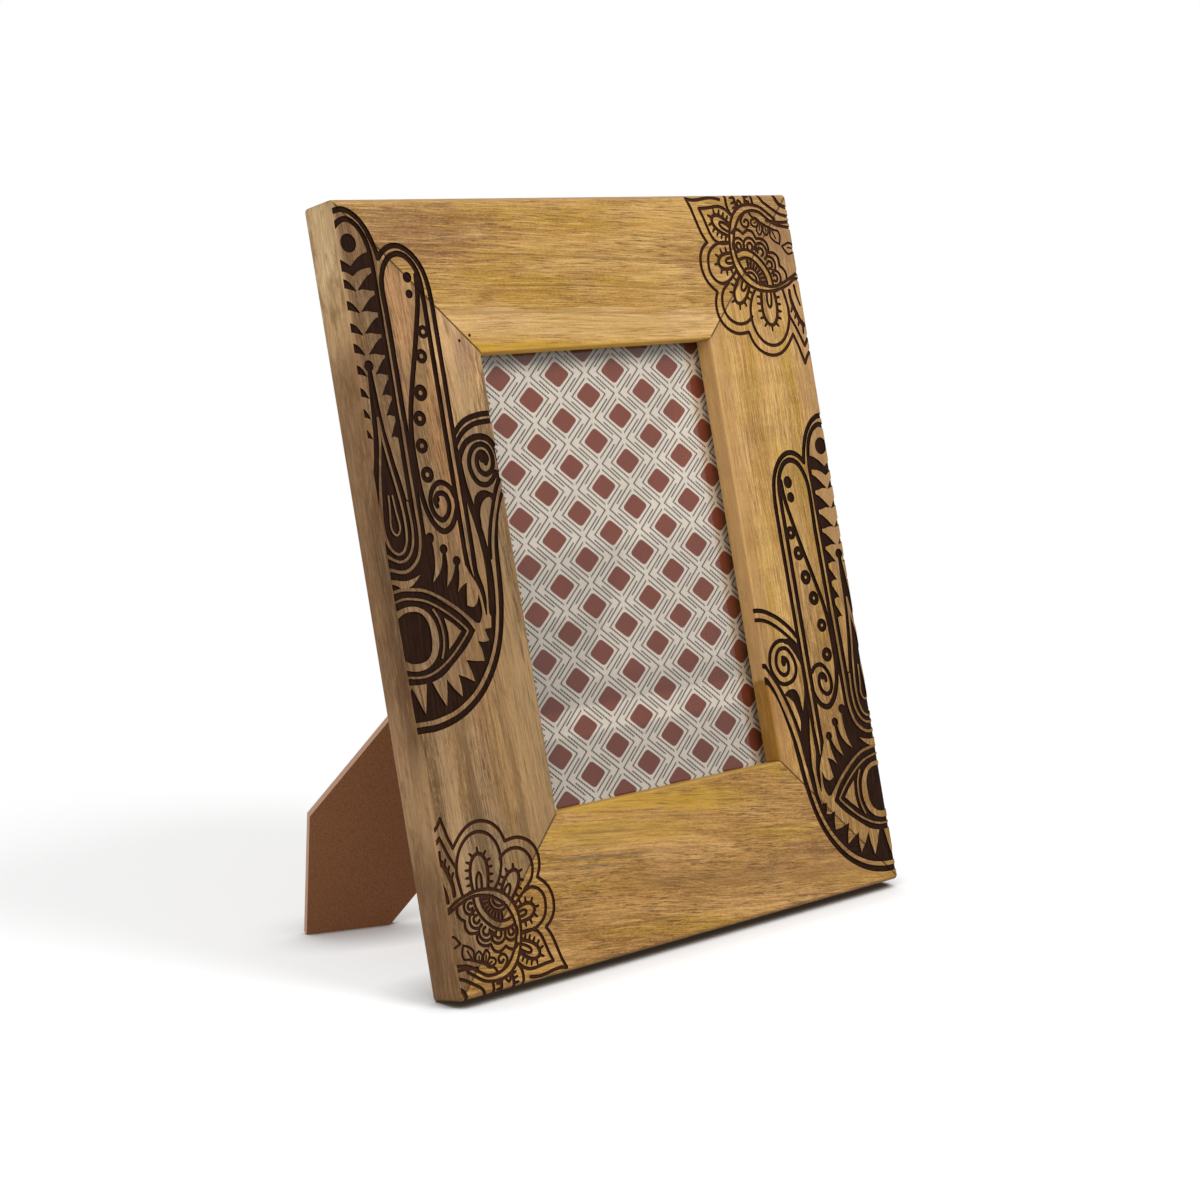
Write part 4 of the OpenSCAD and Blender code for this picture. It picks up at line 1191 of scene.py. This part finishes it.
def dress_cad():
    """Gives each CAD node that stays its material."""
    brown = [(160, 108, 72), (124, 80, 50), (134, 88, 58)]
    board = fibreboard("backing_fibreboard", "backing_board", *brown, (196, 156, 118))
    strut = fibreboard("strut_fibreboard", "strut_board", *brown, (226, 184, 156))
    steel = metal("zinc_plate", (198, 200, 204), (156, 158, 162), 0.26)
    brass = metal("brass_plate", (224, 186, 112), (178, 140, 74), 0.24)
    card = fibreboard("grey_card", "filler_card", (176, 166, 150), (140, 130, 116), (160, 150, 136),
        (196, 188, 174))
    finishes = {
        "glass_pane": window_glass(),
        "picture_sheet": printed_sheet(),
        "filler_card": card,
        "backing_board": board,
        "strut_board": strut,
        "mitre_nails": steel,
    }
    for part in ("top", "bottom", "left", "right", "screws"):
        finishes["turn_button_" + part] = steel
    for name in ("hinge_fixed_leaf", "hinge_strut_leaf", "hinge_pin", "board_rivets", "strut_rivets"):
        finishes[name] = brass
    for name, material in finishes.items():
        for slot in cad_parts[name].material_slots:
            slot.material = material


# Stage


def pale_floor():
    """A white floor that keeps a soft shadow and still meets the white background. Near the frame it has a
    painted shadow from ambient occlusion, and under the frame's front edge a painted dark gap with a faint
    warm glow.
    """
    m = Surface("white_floor")
    m.put(Base_Color=(0.8, 0.8, 0.8), Roughness=0.9)

    def open_within(reach):
        return m.node("AmbientOcclusion", {"Distance": reach}, samples=8).outputs["AO"]

    # Painted shadow: ambient occlusion dims the floor's glow near the frame. Under the frame's raised front
    # edge the floor turns dark brown with a faint warm glow, which is painted shade and painted bounced
    # light
    open_sky = open_within(0.03)
    clear_of_painted_gap_shade = m.step(open_within(0.007), 0.3, 0.65)
    shade = m.node("BsdfDiffuse", {"Color": m.mix(clear_of_painted_gap_shade, (0.09, 0.07, 0.05), (0.72, 0.72, 0.72))})
    raised = m.times(m.times(m.times(open_sky, open_sky), 0.55), clear_of_painted_gap_shade)
    glow = m.node("Emission", {"Color": m.mix(clear_of_painted_gap_shade, (1.0, 0.8, 0.62), (1.0, 1.0, 1.0)),
        "Strength": m.math("MAXIMUM", raised, 0.022)})
    near = m.node("AddShader", {0: shade.outputs[0], 1: glow.outputs[0]})
    white = m.node("Emission", {"Color": (1.0, 1.0, 1.0), "Strength": 1.0})
    x, y, _ = m.split(m.node("TexCoord").outputs["Object"])
    away = m.hypot(x, y)
    shadow_ends, all_white = 0.22, 0.42
    whitened = m.step(away, shadow_ends, all_white)
    both = m.node("MixShader", {0: whitened, 1: near.outputs[0], 2: white.outputs[0]})
    m.show(m.seen(), both)
    bm = bmesh.new()
    bmesh.ops.create_circle(bm, cap_ends=True, segments=96, radius=6)
    mesh = bpy.data.meshes.new("floor")
    bm.to_mesh(mesh)
    bm.free()
    mesh.materials.append(m.material)
    floor = in_scene("floor", mesh)


def sky():
    """A white background to the eye and an even, soft light on the object."""
    world = bpy.data.worlds.new("studio")
    bpy.context.scene.world = world
    world.use_nodes = True
    m = Nodes(world.node_tree)
    m.tree.nodes.clear()
    daylight = 0.37
    light = m.node("Background", {"Color": (1, 1, 1), "Strength": daylight})
    white = m.node("Background", {"Color": (1, 1, 1), "Strength": 1.0})
    pick = m.node("MixShader", {0: m.seen(), 1: light.outputs[0], 2: white.outputs[0]})
    m.node("OutputWorld", {"Surface": pick.outputs[0]})


def softbox(name, place, size, power):
    """A round lamp that faces the middle of the object."""
    data = bpy.data.lights.new(name, "AREA")
    data.shape = "DISK"
    data.size = size
    data.energy = power
    lamp = in_scene(name, data)
    lamp.location = place
    middle = Vector((0, 0, 0.13))
    lamp.rotation_euler = (middle - Vector(place)).to_track_quat("-Z", "Y").to_euler()


def camera():
    """The photograph's viewpoint: a long lens, from the left and a little above."""
    place = Vector((-0.679602, -0.736081, 0.284318))
    right = Vector((0.73067355, -0.68266327, -0.00932902))
    down = Vector((-0.11292709, -0.10737032, -0.98778494))
    ahead = Vector((0.67332284, 0.72280182, -0.15554383))
    focal_pixels, photo_pixels, sensor = 2590, 1200, 36
    data = bpy.data.cameras.new("camera")
    data.sensor_width = sensor
    data.lens = sensor * focal_pixels / photo_pixels
    eye_point = in_scene("camera", data)
    turn = Matrix((right, -down, -ahead)).transposed().to_4x4()
    eye_point.matrix_world = Matrix.Translation(place) @ turn
    bpy.context.scene.camera = eye_point


camera()
dress_rails()
dress_cad()
pale_floor()
sky()
softbox("key", (0.5, -1.3, 1.4), 0.9, 22)
softbox("fill", (-1.5, -0.6, 1.0), 1.0, 9)
bpy.context.scene.view_settings.view_transform = "Standard"
